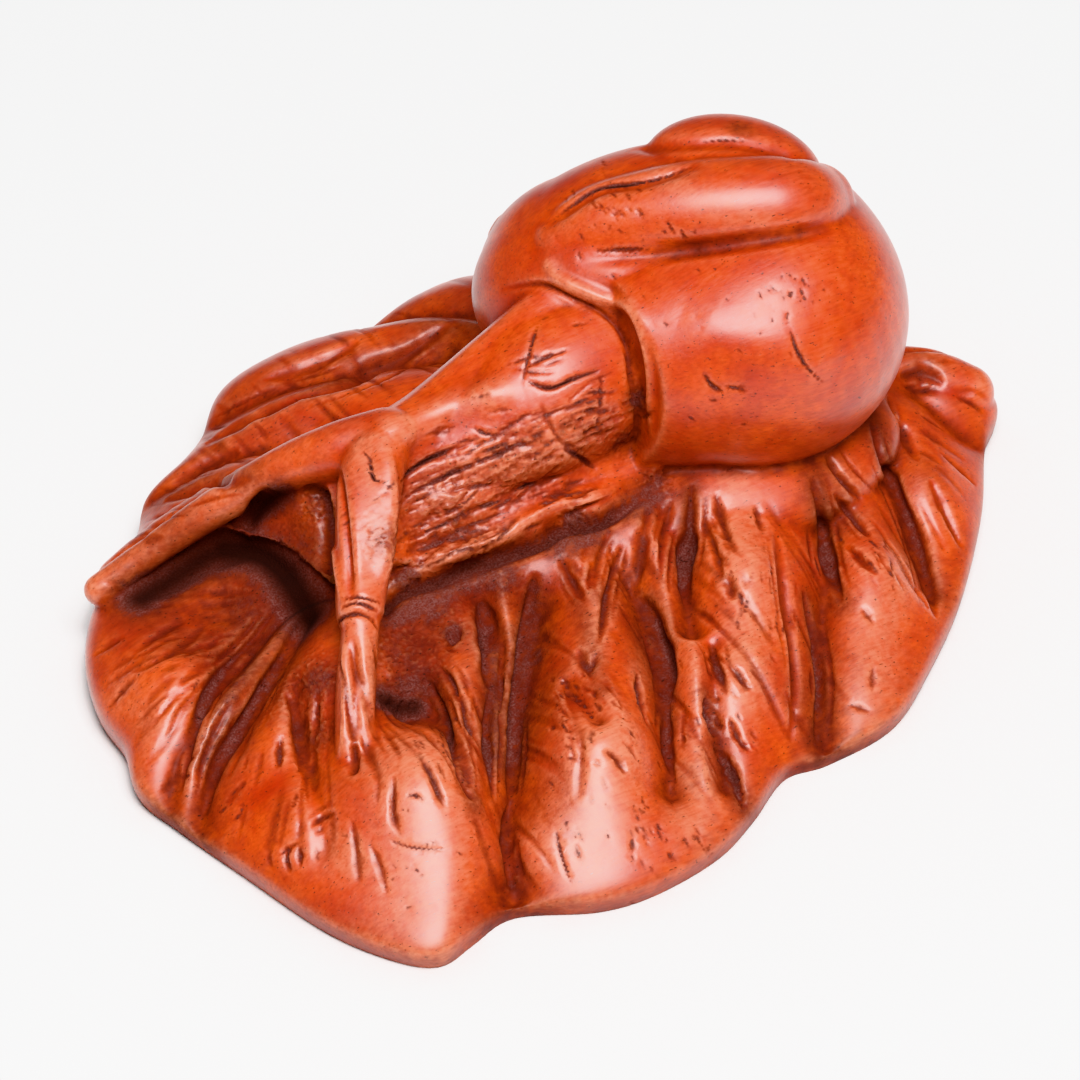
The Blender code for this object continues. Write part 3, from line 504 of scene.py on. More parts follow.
# Streaks of the leaf: its midrib, their number, where one starts on the way to the rim, how much of
# the way it covers and where it ends at the latest, how far it strays and how it bows, and the least
# and greatest depth, half width and stain
MIDRIB = [(-14.0, 2.0), (15.0, 4.0)]
STREAKS = 420
STREAK_STARTS = (0.25, 0.85)
STREAK_SHARES = (0.06, 0.30)
STREAK_END = 0.96
STREAK_STRAY = 0.35
STREAK_BOW = 3.0
STREAK_RANGE = ((0.03, 0.12, 0.15), (0.12, 0.32, 0.5))
# Where the far side begins, the share of their depth that they have there, and the leaf's top,
# above which they would run onto the snail
FAR_SIDE = 6.0
FAR_DEPTH = 0.7
LEAF_TOP = 8.5
# Lobes that are left smooth: centre and reach
SMOOTH_LOBES = [((-18.6, -15.6), 3.8), ((-8.2, -17.4), 3.4), ((0.6, -16.2), 2.2),
                ((10.4, -13.0), 2.4)]
# A height above everything, from which lines are dropped
DROP_HEIGHT = 60.0

# A pressed line: how far it reaches, in half widths, how sharply it ends, the share of its width at
# its ends and what it gains between them, the waves of its width along it with their shares, how
# steep its sides are with pointed and with blunt ends, how soon a blunt end is at full depth, how
# wide its stain spreads, and how soon wood that faces away is spared
CUT_REACH = 3.0
CUT_POINT = 0.6
CUT_WIDTHS = (0.3, 0.7)
CUT_WAVES = (1.3, 3.1)
CUT_WAVE_SHARES = (0.20, 0.12)
CUT_SIDES = 2.6
BLUNT_SIDES = 2.0
BLUNT_ENDS = 6.0
STAIN_WIDTH = 1.1
FACING_AWAY = 2.0
# A soft place: how many reaches out it is followed, and how full its core is where it is dabbed on
SOFT_REACH = 2.0
DAB_CORE = 1.2
# Where every draw of chance starts, how much one round of smoothing moves a point, and the rounds
# that soften the joins
CHANCE_SEED = 7
SMOOTHING = 0.5
JOIN_ROUNDS = 6

# Hollows and wear are read from how far the wood lies below or above itself smoothed. Hollows are
# darkened with stain and painted shade, raised places paled as wear and painted highlight. Each row
# has the rounds of smoothing, the depth in millimetres that counts as one, the weight and the most of
# a hollow, and the weight, the allowance and the most of a raised place.
WEAR_ROUNDS = [
    (8, 0.05, (0.35, 0.5), (0.5, 0.0, 0.5)),
    (60, 0.22, (0.6, 0.8), (0.6, 0.0, 0.6)),
    (260, 0.9, (0.7, 0.8), (1.8, 0.40, 0.8)),
]
# Broad crests, paled as wear and painted highlight, are paled less from this height up, fading over a
# height to a least share
CREST_TOP = 10.0
CREST_FADE = 2.0
LEAST_CREST = 0.15
# A painted highlight, laid on as a rubbed place, turns pale where the wood is less hollow than this
PAINTED_HIGHLIGHT_OVER = 1.2
# Stain and painted shade in the valleys: its weight, the depth of the deepest, and the height up to
# which it is full and over which it fades
VALLEY_STAIN_AND_SHADE = 0.75
VALLEY_DEPTH = 1.5
VALLEY_TOP = 9.0
VALLEY_FADE = 2.0
# Painted shade along the lower edge of the rim: its weight and how high it reaches
RIM_PAINTED_SHADE = 0.7
RIM_PAINTED_SHADE_TOP = 2.4

# The studio, in metres: the paper's side, the softbox's two sides, its place and the point that it
# is aimed at
PAPER_SIDE = 1.2
SOFTBOX_SIDES = (0.20, 0.17)
SOFTBOX_PLACE = (-0.040, -0.140, 0.33)
SOFTBOX_AIM = (0.0, 0.0, 0.008)

# Patterns in the wood: size in millimetres, detail, stretch and turn in degrees. Boxwood's own grain
# and pores are a few hundredths of a millimetre wide, too fine to show, so both are drawn as coarse
# as they need to show. Knife and scraper marks run two ways across the wood, a fifth of a
# millimetre apart.
WOOD_PATTERNS = {
    "patchy": (0.45, 4.0, (1.0, 1.0, 1.0), 0.0),
    "cloudy": (3.2, 3.0, (1.0, 1.0, 1.0), 0.0),
    "mottled": (0.7, 4.0, (1.0, 1.0, 1.0), 0.0),
    "grained": (0.16, 3.0, (0.12, 1.0, 1.0), 0.0),
    "gritty": (0.11, 2.0, (1.0, 1.0, 1.0), 0.0),
    "pored": (0.13, 1.0, (0.45, 1.0, 1.0), 20.0),
    "waxed": (0.9, 3.0, (1.0, 1.0, 1.0), 0.0),
    "scraped": (0.20, 2.0, (0.10, 1.0, 1.0), 35.0),
    "scraped across": (0.20, 2.0, (0.10, 1.0, 1.0), -50.0),
}
PATTERN_ROUGHNESS = 0.55
# What is worked out from the patterns and from the carved layers, in order. A range has the value,
# its low and high ends and what they turn into. The others add, subtract or multiply the values
# that follow, or multiply two and add a third.
WOOD_STEPS = [
    # how much of each colour shows
    ("clouds", "RANGE", "cloudy", 0.32, 0.68, 0.0, 1.0),
    ("mottle", "RANGE", "mottled", 0.35, 0.65, 0.0, 0.6),
    ("wear_and_highlight_patches", "RANGE", "patchy", 0.35, 0.60, 0.4675, 0.85),
    # pale wear on the raised places, which is also painted highlight
    ("worn_and_highlighted_places", "MULTIPLY", "worn_and_highlight", "wear_and_highlight_patches"),
    ("grain", "RANGE", "grained", 0.40, 0.72, 0.0, 0.40),
    ("shade", "RANGE", "mottled", 0.35, 0.65, 0.5525, 0.85),
    # recess stain, which also paints the shade in the hollows
    ("recesses_stained_and_shaded", "MULTIPLY", "hollow", "shade"),
    ("staining", "RANGE", "patchy", 0.35, 0.65, 1.10, 0.75),
    # stain, which also paints the shadow under the tentacles and the foot and in the face
    ("stained_and_shaded", "MULTIPLY", "stain_and_shade", "staining"),
    ("cuts_stained_and_shaded", "RANGE", "stained_and_shaded", 0.05, 0.65, 0.0, 0.85),
    ("dusty cuts", "RANGE", "stained_and_shaded", 0.45, 0.75, 0.0, 1.0),
    ("dust grains", "RANGE", "gritty", 0.40, 0.62, 0.20, 0.65),
    ("dust", "MULTIPLY", "dusty cuts", "dust grains"),
    # black stain in the cuts, which also paints the black shadow under the left tentacle, in the face
    # and by the right tentacle's tip
    ("black_cuts_and_shadow", "RANGE", "stain_and_shade", 0.72, 1.22, 0.0, 0.95),
    ("pores", "RANGE", "pored", 0.67, 0.76, 0.0, 0.7),
    # how rough the wood is, and how much of the wax is polished
    ("wax", "RANGE", "waxed", 0.3, 0.7, 0.40, 0.52),
    ("rough hollows", "MULTIPLY_ADD", "hollow", 0.18, "wax"),
    ("roughness", "MULTIPLY_ADD", "stained_and_shaded", 0.45, "rough hollows"),
    ("unstained", "RANGE", "stained_and_shaded", 0.1, 0.7, 1.0, 0.0),
    ("raised", "RANGE", "hollow", 0.15, 0.7, 0.9, 0.05),
    ("polish", "MULTIPLY", "unstained", "raised"),
    # how high the finest relief stands
    ("marks", "ADD", "scraped", "scraped across"),
    ("mark relief", "MULTIPLY", "marks", 0.6),
    ("worked relief", "MULTIPLY_ADD", "patchy", 1.2, "mark relief"),
    ("pore relief", "RANGE", "pored", 0.67, 0.76, 0.0, 0.5),
    ("pored relief", "SUBTRACT", "worked relief", "pore relief"),
    ("grit", "RANGE", "gritty", 0.40, 0.62, 0.0, 1.2),
    ("relief", "MULTIPLY_ADD", "grit", "stained_and_shaded", "pored relief"),
]
# The colours laid over the thick stain, in order, some of them painted shade and painted highlight:
# the share that each covers and its name
WOOD_COLOURS = [
    ("clouds", "stain_orange"), ("mottle", "stain_red"), ("worn_and_highlighted_places", "pale_wear_and_highlight"),
    ("grain", "grain_brown"), ("recesses_stained_and_shaded", "recess_stain_and_shade_brown"), ("cuts_stained_and_shaded", "recess_stain_and_shade_brown"),
    ("dust", "dust_grey"), ("black_cuts_and_shadow", "black_stain_and_shadow"), ("pores", "black_stain_and_shadow"),
]
# The finest relief: its height in millimetres and how strongly it shows
RELIEF_HEIGHT = 0.05
RELIEF_STRENGTH = 0.45


def picture_axes():
    """Return the directions back to the camera, to the right and up in the picture."""
    azimuth = math.radians(CAMERA_AZIMUTH)
    elevation = math.radians(CAMERA_ELEVATION)
    back = np.array([math.sin(azimuth) * math.cos(elevation),
                     -math.cos(azimuth) * math.cos(elevation), math.sin(elevation)])
    right = np.array([math.cos(azimuth), math.sin(azimuth), 0.0])
    return back, right, np.cross(back, right)


def camera_place():
    """Return where the camera stands, in millimetres."""
    return np.array(CAMERA_TARGET) + picture_axes()[0] * CAMERA_DISTANCE


def picture_rays(pixels):
    """Return the directions from the camera through points of the picture."""
    back, right, up = picture_axes()
    pixels = np.array(pixels, float)
    share = (pixels - PICTURE / 2) * CAMERA_SENSOR / PICTURE / CAMERA_LENS
    rays = -back + share[:, :1] * right - share[:, 1:] * up
    return rays / np.linalg.norm(rays, axis=1)[:, None]


def linear(code):
    """Turn an sRGB hex colour to linear red, green and blue, fully opaque."""
    shares = [int(code[i:i + 2], 16) / 255 for i in (1, 3, 5)]
    light = [s / 12.92 if s <= 0.04045 else ((s + 0.055) / 1.055) ** 2.4 for s in shares]
    return (*light, 1.0)


def spline(points, steps, closed=False):
    """Return a smooth line through the points, with the given steps between two of them."""
    given = np.array(points, float)
    count = len(given)
    spans = count if closed else count - 1
    line = []
    for i in range(spans):
        if closed:
            a, b, c, d = (given[(i + k) % count] for k in (-1, 0, 1, 2))
        else:
            a, b, c, d = (given[min(max(i + k, 0), count - 1)] for k in (-1, 0, 1, 2))
        for step in range(steps):
            t = step / steps
            line.append(0.5 * (2 * b + (c - a) * t + (2 * a - 5 * b + 4 * c - d) * t * t
                               + (3 * b - a - 3 * c + d) * t ** 3))
    if not closed:
        line.append(given[-1])
    return np.array(line)


def nearest_on(places, line):
    """Return each place's distance to a run of straight pieces, the share of the run's length at
    which it is nearest, and the number of that piece."""
    lengths = np.linalg.norm(np.diff(line, axis=0), axis=1)
    reached = np.concatenate(([0.0], np.cumsum(lengths)))
    gap = np.full(len(places), np.inf)
    share = np.zeros(len(places))
    piece = np.zeros(len(places), int)
    for i, (start, end) in enumerate(zip(line[:-1], line[1:])):
        along = end - start
        t = np.clip((places - start) @ along / max(along @ along, 1e-12), 0.0, 1.0)
        reach = np.linalg.norm(places - (start + t[:, None] * along), axis=1)
        closer = reach < gap
        gap[closer] = reach[closer]
        share[closer] = ((reached[i] + t * lengths[i]) / reached[-1])[closer]
        piece[closer] = i
    return gap, share, piece


def rim_table():
    """Return the rim's bearings from the leaf's centre, sorted, and its distance at each."""
    line = spline(LEAF_RIM, 12, closed=True) - LEAF_CENTRE
    bearing = np.arctan2(line[:, 1], line[:, 0])
    order = np.argsort(bearing)
    return bearing[order], np.hypot(line[:, 0], line[:, 1])[order]


def rim_height(y):
    """Return the height of the leaf's edge, which lifts towards the back."""
    start, length = RIM_LIFT
    share = np.clip((y - start) / length, 0.0, 1.0)
    return LEAF_RIM_FRONT + (LEAF_RIM_BACK - LEAF_RIM_FRONT) * share


def cut_depth(x, y, greatest):
    """Return how deep the valleys cut into the leaf at each place, less the swells of the lobes."""
    places = np.column_stack((x, y))
    depth = np.zeros(len(x))
    for cut, half_width, points in LEAF_VALLEYS:
        line = spline(points, 5)
        reach = VALLEY_REACH * half_width
        inside = (places > line.min(0) - reach) & (places < line.max(0) + reach)
        near = np.flatnonzero(np.all(inside, axis=1))
        gap = nearest_on(places[near], line)[0]
        valley = greatest * cut * np.exp(-(gap / half_width) ** VALLEY_POWER)
        depth[near] = np.maximum(depth[near], valley)
    for centre, reach, hollow in LEAF_HOLLOWS:
        gap = np.linalg.norm(places - centre, axis=1)
        depth = depth + hollow * np.exp(-(gap / reach) ** 2)
    for centre, reach, height in LEAF_SWELLS:
        gap = np.linalg.norm(places - centre, axis=1)
        depth = depth - height * np.exp(-(gap / reach) ** 2)
    return depth


def add_object(name, mesh):
    """Link a mesh to the scene as a new object."""
    piece = bpy.data.objects.new(name, mesh)
    bpy.context.scene.collection.objects.link(piece)
    return piece


def mesh_points(mesh):
    """Return a mesh's vertices in millimetres."""
    flat = np.empty(len(mesh.vertices) * 3)
    mesh.vertices.foreach_get("co", flat)
    return flat.reshape(-1, 3) / MM


def set_mesh_points(mesh, points):
    """Move a mesh's vertices to the given points, in millimetres."""
    mesh.vertices.foreach_set("co", (points * MM).ravel())
    mesh.update()


def mesh_facing(mesh):
    """Return the way that a mesh faces at each vertex."""
    flat = np.empty(len(mesh.vertices) * 3)
    mesh.vertex_normals.foreach_get("vector", flat)
    return flat.reshape(-1, 3)


def set_modifier(piece, kind, **settings):
    """Give a piece a modifier with the given settings."""
    modifier = piece.modifiers.new(kind.lower(), kind)
    for name, value in settings.items():
        setattr(modifier, name, value)
    return modifier


def apply_modifiers(piece):
    """Turn a piece's modifiers into its mesh."""
    bpy.context.view_layer.update()
    evaluated = piece.evaluated_get(bpy.context.evaluated_depsgraph_get())
    shaped = bpy.data.meshes.new_from_object(evaluated)
    piece.modifiers.clear()
    piece.data = shaped


def leaf(dome, valley):
    """A sphere drawn out into the domed leaf, with its lobes, valleys and thick rounded rim."""
    bpy.ops.mesh.primitive_uv_sphere_add(segments=240, ring_count=120, radius=MM)
    piece = bpy.context.object
    set_modifier(piece, "SUBSURF", subdivision_type="SIMPLE", levels=1, render_levels=1)
    apply_modifiers(piece)
    unit = mesh_points(piece.data)
    unit = unit / np.linalg.norm(unit, axis=1)[:, None]
    bearing = np.arctan2(unit[:, 1], unit[:, 0])
    share = np.sqrt(np.clip(1.0 - unit[:, 2] ** 2, 0.0, 1.0))
    angles, distances = rim_table()
    rim = np.interp(bearing, angles, distances, period=2 * math.pi)
    x = LEAF_CENTRE[0] + share * rim * np.cos(bearing)
    y = LEAF_CENTRE[1] + share * rim * np.sin(bearing)
    edge = rim_height(y)
    middle = 0.5 * edge
    crown = edge + dome * (1.0 - share ** DOME_POWER) - cut_depth(x, y, valley)
    top = middle + (crown - middle) * np.sqrt(1.0 - share ** RIM_POWER)
    turn, width = UNDER_EDGE
    under = np.clip((share - turn) / width, 0.0, 1.0)
    bottom = middle - (middle + UNDER_SPARE) * np.sqrt(1.0 - under ** 2)
    z = np.where(unit[:, 2] >= 0.0, top, bottom)
    set_mesh_points(piece.data, np.column_stack((x, y, z)))
    return piece


def loft(name, rows):
    """Skin a run of closed sections, all with the same number of points, and cap its ends."""
    shape = bmesh.new()
    rings = [[shape.verts.new(Vector(point) * MM) for point in row] for row in rows]
    count = len(rings[0])
    for near, far in zip(rings[:-1], rings[1:]):
        for i in range(count):
            j = (i + 1) % count
            shape.faces.new((near[i], near[j], far[j], far[i]))
    shape.faces.new(rings[0])
    shape.faces.new(rings[-1])
    bmesh.ops.recalc_face_normals(shape, faces=shape.faces)
    mesh = bpy.data.meshes.new(name)
    shape.to_mesh(mesh)
    shape.free()
    return add_object(name, mesh)


def neck():
    """The neck and foot, from the head to inside the shell."""
    ridge = spline(NECK_RIDGE, 16)
    near = spline(FOOT_NEAR, 16)
    far = spline(FOOT_FAR, 16)
    section = spline(NECK_SECTION, 10)
    rows = []
    for top, left, right in zip(ridge, near, far):
        row = []
        for across, up in section:
            foot = left if across < 0.0 else right
            point = top + abs(across) * (foot - top)
            point[2] = foot[2] + up * (top[2] - foot[2])
            row.append(point)
        rows.append(row)
    return loft("neck", rows)


def face():
    """The hollow face between the tentacles, backed by the head."""
    upper = spline(FACE_UPPER, 8)
    lower = spline(FACE_LOWER, 8)
    back = np.array(FACE_THICKNESS)
    inward = back / np.linalg.norm(back)
    rows = []
    for a, b in zip(upper, lower):
        front = [a + (b - a) * t + inward * FACE_HOLLOW * math.sin(math.pi * t)
                 for t in np.linspace(0.0, 1.0, FACE_STEPS)]
        rows.append(front + [point + back for point in reversed(front)])
    return loft("face", rows)


def trim_to_mouth(piece):
    """Cut the last whorl off flat where its mouth opens over the neck."""
    place, facing = MOUTH
    shape = bmesh.new()
    shape.from_mesh(piece.data)
    bmesh.ops.bisect_plane(shape, geom=shape.verts[:] + shape.edges[:] + shape.faces[:],
                           plane_co=Vector(place) * MM, plane_no=Vector(facing), clear_outer=True)
    rim = [edge for edge in shape.edges if edge.is_boundary]
    bmesh.ops.contextual_create(shape, geom=rim)
    bmesh.ops.recalc_face_normals(shape, faces=shape.faces)
    shape.to_mesh(piece.data)
    shape.free()


def ball(name, centre, radii, turn=0.0, lift=0.0):
    """A sphere stretched to three radii, turned about Z and with its long axis lifted."""
    bpy.ops.mesh.primitive_uv_sphere_add(segments=96, ring_count=48, radius=MM)
    piece = bpy.context.object
    piece.name = name
    place = (Matrix.Translation(Vector(centre) * MM) @ Matrix.Rotation(math.radians(turn), 4, "Z")
             @ Matrix.Rotation(math.radians(-lift), 4, "Y") @ Matrix.Diagonal((*radii, 1.0)))
    piece.data.transform(place)
    return piece


def tube(name, stations, rounded=True, steps=14, resolution=30):
    """A curve with a round section whose radius changes from point to point."""
    line = spline([(*place, radius) for place, radius in stations], steps)
    curve = bpy.data.curves.new(name, "CURVE")
    curve.dimensions = "3D"
    curve.bevel_depth = MM
    curve.bevel_resolution = resolution
    curve.use_fill_caps = True
    path = curve.splines.new("POLY")
    path.points.add(len(line) - 1)
    for point, (x, y, z, radius) in zip(path.points, line):
        point.co = (x * MM, y * MM, z * MM, 1.0)
        point.radius = radius
    drawn = add_object(name, curve)
    bpy.context.view_layer.update()
    mesh = bpy.data.meshes.new_from_object(drawn.evaluated_get(bpy.context.evaluated_depsgraph_get()))
    bpy.data.objects.remove(drawn)
    bpy.data.curves.remove(curve)
    piece = add_object(name, mesh)
    if rounded:
        ball(name + "_start", stations[0][0], (stations[0][1],) * 3)
        ball(name + "_end", stations[-1][0], (stations[-1][1],) * 3)
    return piece


def shell():
    """The whorls of the shell and the raised lip of its mouth."""
    trim_to_mouth(tube("last_whorl", LAST_WHORL, rounded=False))
    tube("middle_band", MIDDLE_BAND)
    ball("upper_whorl", *UPPER_WHORL)
    ball("apex", *APEX)
    ball("hood", *HOOD)
    ball("seat", *SEAT)
    tube("lip", [(place, LIP_RADIUS) for place in LIP])


def fuse(name, others):
    """Join everything made so far into one carved body and soften the joins a little."""
    pieces = [piece for piece in bpy.data.objects if piece.type == "MESH" and piece not in others]
    bpy.ops.object.select_all(action="DESELECT")
    for piece in pieces:
        piece.select_set(True)
    bpy.context.view_layer.objects.active = pieces[0]
    bpy.ops.object.join()
    body = bpy.context.object
    body.name = name
    body.data.name = name
    voxel = VOXEL
    set_modifier(body, "REMESH", mode="VOXEL", voxel_size=voxel * MM)
    set_modifier(body, "SMOOTH", factor=SMOOTHING, iterations=JOIN_ROUNDS)
    apply_modifiers(body)
    return body


class Wood:
    """The body while it is carved: its points in millimetres, the way that each faces, the share of
    dark stain and painted shade that it has taken, and how much painted highlight, laid on as pale
    rubbed wear, it has."""

    def __init__(self, body, chance):
        self.body = body
        self.chance = chance
        self.points = mesh_points(body.data)
        self.stain_and_shade = np.zeros(len(self.points))
        self.painted_highlight = np.zeros(len(self.points))
        self.look()

    def look(self):
        """Read the surface, so that the next lines are laid on it as it is now."""
        set_mesh_points(self.body.data, self.points)
        self.facing = mesh_facing(self.body.data)
        self.tree = BVHTree.FromObject(self.body, bpy.context.evaluated_depsgraph_get())

    def laid(self, pixels):
        """Lay a line of the picture on the wood. Return its points and how the wood faces there."""
        eye = Vector(camera_place()) * MM
        places = []
        ways = []
        for ray in picture_rays(pixels):
            place, way, _, _ = self.tree.ray_cast(eye, Vector(ray))
            if place is not None:
                places.append(np.array(place) / MM)
                ways.append(np.array(way))
        return np.array(places), np.array(ways)

    def dropped(self, line):
        """Lay a line seen from above on the wood, in the same way."""
        places = []
        ways = []
        for x, y in line:
            above = Vector((x * MM, y * MM, DROP_HEIGHT * MM))
            place, way, _, _ = self.tree.ray_cast(above, Vector((0, 0, -1)))
            if place is not None:
                places.append(np.array(place) / MM)
                ways.append(np.array(way))
        return np.array(places), np.array(ways)

    def close_to(self, low, high):
        """Return the numbers of the points inside a box."""
        inside = np.all((self.points > low) & (self.points < high), axis=1)
        return np.flatnonzero(inside)

    def press(self, laid, depth, half_width, stain_and_shade, pointed=True):
        """Press a line into the wood, or raise one where the depth is negative."""
        line, ways = laid
        if len(line) < 2:
            return
        reach = CUT_REACH * half_width
        near = self.close_to(line.min(0) - reach, line.max(0) + reach)
        gap, share, piece = nearest_on(self.points[near], line)
        same_side = np.sum(self.facing[near] * ways[piece], axis=1) * FACING_AWAY
        if pointed:
            ends = np.clip(np.sin(math.pi * share), 0.0, 1.0) ** CUT_POINT
            ripples = 2.0 * math.pi * (share[:, None] * CUT_WAVES + self.chance.random(2))
            narrow, gain = CUT_WIDTHS
            width = half_width * (narrow + gain * ends) * (1.0 + np.sin(ripples) @ CUT_WAVE_SHARES)
        else:
            ends = np.clip(np.minimum(share, 1.0 - share) * BLUNT_ENDS, 0.0, 1.0)
            width = half_width
        ends = ends * np.clip(same_side, 0.0, 1.0)
        hold = np.exp(-(gap / width) ** (CUT_SIDES if pointed else BLUNT_SIDES)) * ends
        self.points[near] -= self.facing[near] * (depth * hold)[:, None]
        spread = np.exp(-(gap / (STAIN_WIDTH * width)) ** 2) * ends
        self.stain_and_shade[near] = np.maximum(self.stain_and_shade[near], stain_and_shade * spread)

    def dab(self, centre, reach, stain_and_shade, pits):
        """Darken a round patch with stain and painted shade, and roughen it with pits."""
        places, _ = self.laid([centre])
        place = places[0]
        near = self.close_to(place - SOFT_REACH * reach, place + SOFT_REACH * reach)
        gap = np.linalg.norm(self.points[near] - place, axis=1)
        hold = np.exp(-(gap / reach) ** 2)
        self.stain_and_shade[near] = np.maximum(self.stain_and_shade[near], stain_and_shade * np.minimum(DAB_CORE * hold, 1.0))
        rough = self.chance.normal(size=len(near))
        self.points[near] -= self.facing[near] * (pits * hold * rough)[:, None]

    def spread(self, layer, line, reach, share):
        """Raise a layer's values softly along a line of the picture."""
        path, _ = self.laid(spline(line, 6))
        near = self.close_to(path.min(0) - SOFT_REACH * reach, path.max(0) + SOFT_REACH * reach)
        gap, _, _ = nearest_on(self.points[near], path)
        layer[near] = np.maximum(layer[near], share * np.exp(-(gap / reach) ** 2))


def carve_broad(wood):
    """Work the broad forms."""
    for depth, half_width, stain_and_shade, line in BROAD_FORMS:
        wood.press(wood.laid(spline(line, 5)), depth, half_width, stain_and_shade, pointed=False)
        wood.look()


def carve_furrows(wood):
    """Cut the dark furrows of the leaf, each with a finer cut on either side."""
    least, growth = SIDE_CUT_DEPTHS
    for depth, half_width, stain_and_shade, line in LEAF_FURROWS:
        path = spline(line, 6)
        wood.press(wood.laid(path), depth, half_width, stain_and_shade)
        way = (path[-1] - path[0]) / np.linalg.norm(path[-1] - path[0])
        across = np.array((-way[1], way[0]))
        for side in (-1.0, 1.0):
            start, end = np.sort(wood.chance.random(2)) * len(path)
            part = path[int(start):int(end) + 1] + side * across * wood.chance.uniform(*SIDE_CUT_GAPS)
            if len(part) > 4:
                wood.press(wood.laid(part), least + growth * depth, SIDE_CUT_WIDTH,
                           SIDE_CUT_STAIN * stain_and_shade)


def carve_scores(wood):
    """Score the neck, the shell and the leaf with short cuts."""
    narrowest, growth = SCORE_WIDTHS
    for centre, reach, count, turn, length, greatest in SCORED_PATCHES:
        for _ in range(count):
            middle = np.array(centre) + wood.chance.normal(0.0, reach, 2)
            angle = math.radians(wood.chance.normal(turn, SCORE_TURN))
            half = wood.chance.uniform(*SCORE_LENGTHS) * length
            way = half * np.array((math.cos(angle), math.sin(angle)))
            ends = [middle + way * t for t in (-1.0, -0.3, 0.3, 1.0)]
            share, stain_and_shade = wood.chance.uniform(*SCORE_SHARES)
            wood.press(wood.laid(ends), share * greatest, growth * greatest * share + narrowest,
                       CUT_STAIN * stain_and_shade)


def carve_streaks(wood):
    """Cut streaks that run from the leaf's middle to its rim, stronger on the far side."""
    rim = spline(LEAF_RIM, 12, closed=True)
    root = np.array(MIDRIB[0])
    along = np.array(MIDRIB[1]) - root
    for _ in range(STREAKS):
        end = rim[wood.chance.integers(len(rim))]
        start = root + along * np.clip((end - root) @ along / (along @ along), 0.0, 1.0)
        first = wood.chance.uniform(*STREAK_STARTS)
        last = min(first + wood.chance.uniform(*STREAK_SHARES), STREAK_END)
        bend = wood.chance.normal(0.0, STREAK_STRAY, 2)
        line = [start + (end - start) * t + bend * math.sin(STREAK_BOW * t)
                for t in np.linspace(first, last, 6)]
        depth, half_width, stain_and_shade = wood.chance.uniform(*STREAK_RANGE)
        if end[1] > FAR_SIDE:
            depth = depth * FAR_DEPTH
        if any(np.linalg.norm(line[3] - centre) < reach for centre, reach in SMOOTH_LOBES):
            continue
        places, ways = wood.dropped(line)
        if len(places) > 1 and places[:, 2].max() < LEAF_TOP:
            wood.press((places, ways), depth, half_width, stain_and_shade)


def carve_fine(wood):
    """Cut the fine lines and rows of nicks."""
    for depth, half_width, stain_and_shade, line in FINE_CUTS:
        wood.press(wood.laid(spline(line, 6)), depth, half_width, CUT_STAIN * stain_and_shade)
    for (length, spacing, angle), depth, half_width, stain_and_shade, line in NICK_ROWS:
        path = spline(line, 30)
        steps = np.linalg.norm(np.diff(path, axis=0), axis=1)
        reached = np.concatenate(([0.0], np.cumsum(steps)))
        way = np.array([math.cos(math.radians(angle)), math.sin(math.radians(angle))])
        for at in np.arange(0.0, reached[-1], spacing):
            middle = np.array([np.interp(at, reached, path[:, k]) for k in (0, 1)])
            middle = middle + wood.chance.normal(0.0, NICK_STRAY, 2)
            cut = length * wood.chance.uniform(*NICK_LENGTHS)
            ends = [middle + way * cut * t for t in (-0.5, -0.15, 0.2, 0.5)]
            share = wood.chance.uniform(*NICK_DEPTHS)
            wood.press(wood.laid(ends), depth * share, half_width, CUT_STAIN * stain_and_shade)


def level_underside(wood):
    """Flatten the underside that the netsuke rests on."""
    wood.points[:, 2] = np.maximum(wood.points[:, 2], 0.0)


def smoothed(body, rounds):
    """Return the body's points after a number of rounds of smoothing."""
    copy = add_object("smoothed", body.data.copy())
    set_modifier(copy, "SMOOTH", factor=SMOOTHING, iterations=rounds)
    apply_modifiers(copy)
    points = mesh_points(copy.data)
    bpy.data.objects.remove(copy)
    return points


def valley_share(wood):
    """Return how deep in a valley of the leaf each point lies, from 0 to 1."""
    depth = cut_depth(wood.points[:, 0], wood.points[:, 1], VALLEY_DEPTH)
    low = np.clip((VALLEY_TOP - wood.points[:, 2]) / VALLEY_FADE, 0.0, 1.0)
    return np.clip(depth, 0.0, 1.0) * low


def wear_maps(wood):
    """Return how hollow the wood is, which is painted dark as stain and shade, and how worn and
    painted with highlight it is, at each point, from 0 to 1.
    """
    height = wood.points[:, 2]
    hollows = []
    crests = []
    for rounds, full, (sink, most_sunk), (rise, allowed, most_raised) in WEAR_ROUNDS:
        below = smoothed(wood.body, rounds) - wood.points
        depth = np.sum(below * wood.facing, axis=1) / full
        hollows.append(np.clip(sink * depth, 0.0, most_sunk))
        crests.append(np.clip(-rise * depth - allowed, 0.0, most_raised))
    crests[-1] = crests[-1] * np.clip((CREST_TOP - height) / CREST_FADE, LEAST_CREST, 1.0)
    # hollows and valleys are darkened, partly as gathered stain and partly as painted shade
    hollow = sum(hollows) + VALLEY_STAIN_AND_SHADE * valley_share(wood)
    # the rim's lower edge is darkened with painted shade
    hollow = hollow + RIM_PAINTED_SHADE * np.clip(1.0 - height / RIM_PAINTED_SHADE_TOP, 0.0, 1.0)
    # pale crests are partly wear and partly painted highlight, and the painted highlight lines are
    # added on top
    worn_and_highlight = sum(crests) + wood.painted_highlight * np.clip(PAINTED_HIGHLIGHT_OVER - hollow, 0.0, 1.0)
    return np.clip(hollow, 0.0, 1.0), np.clip(worn_and_highlight, 0.0, 1.0)


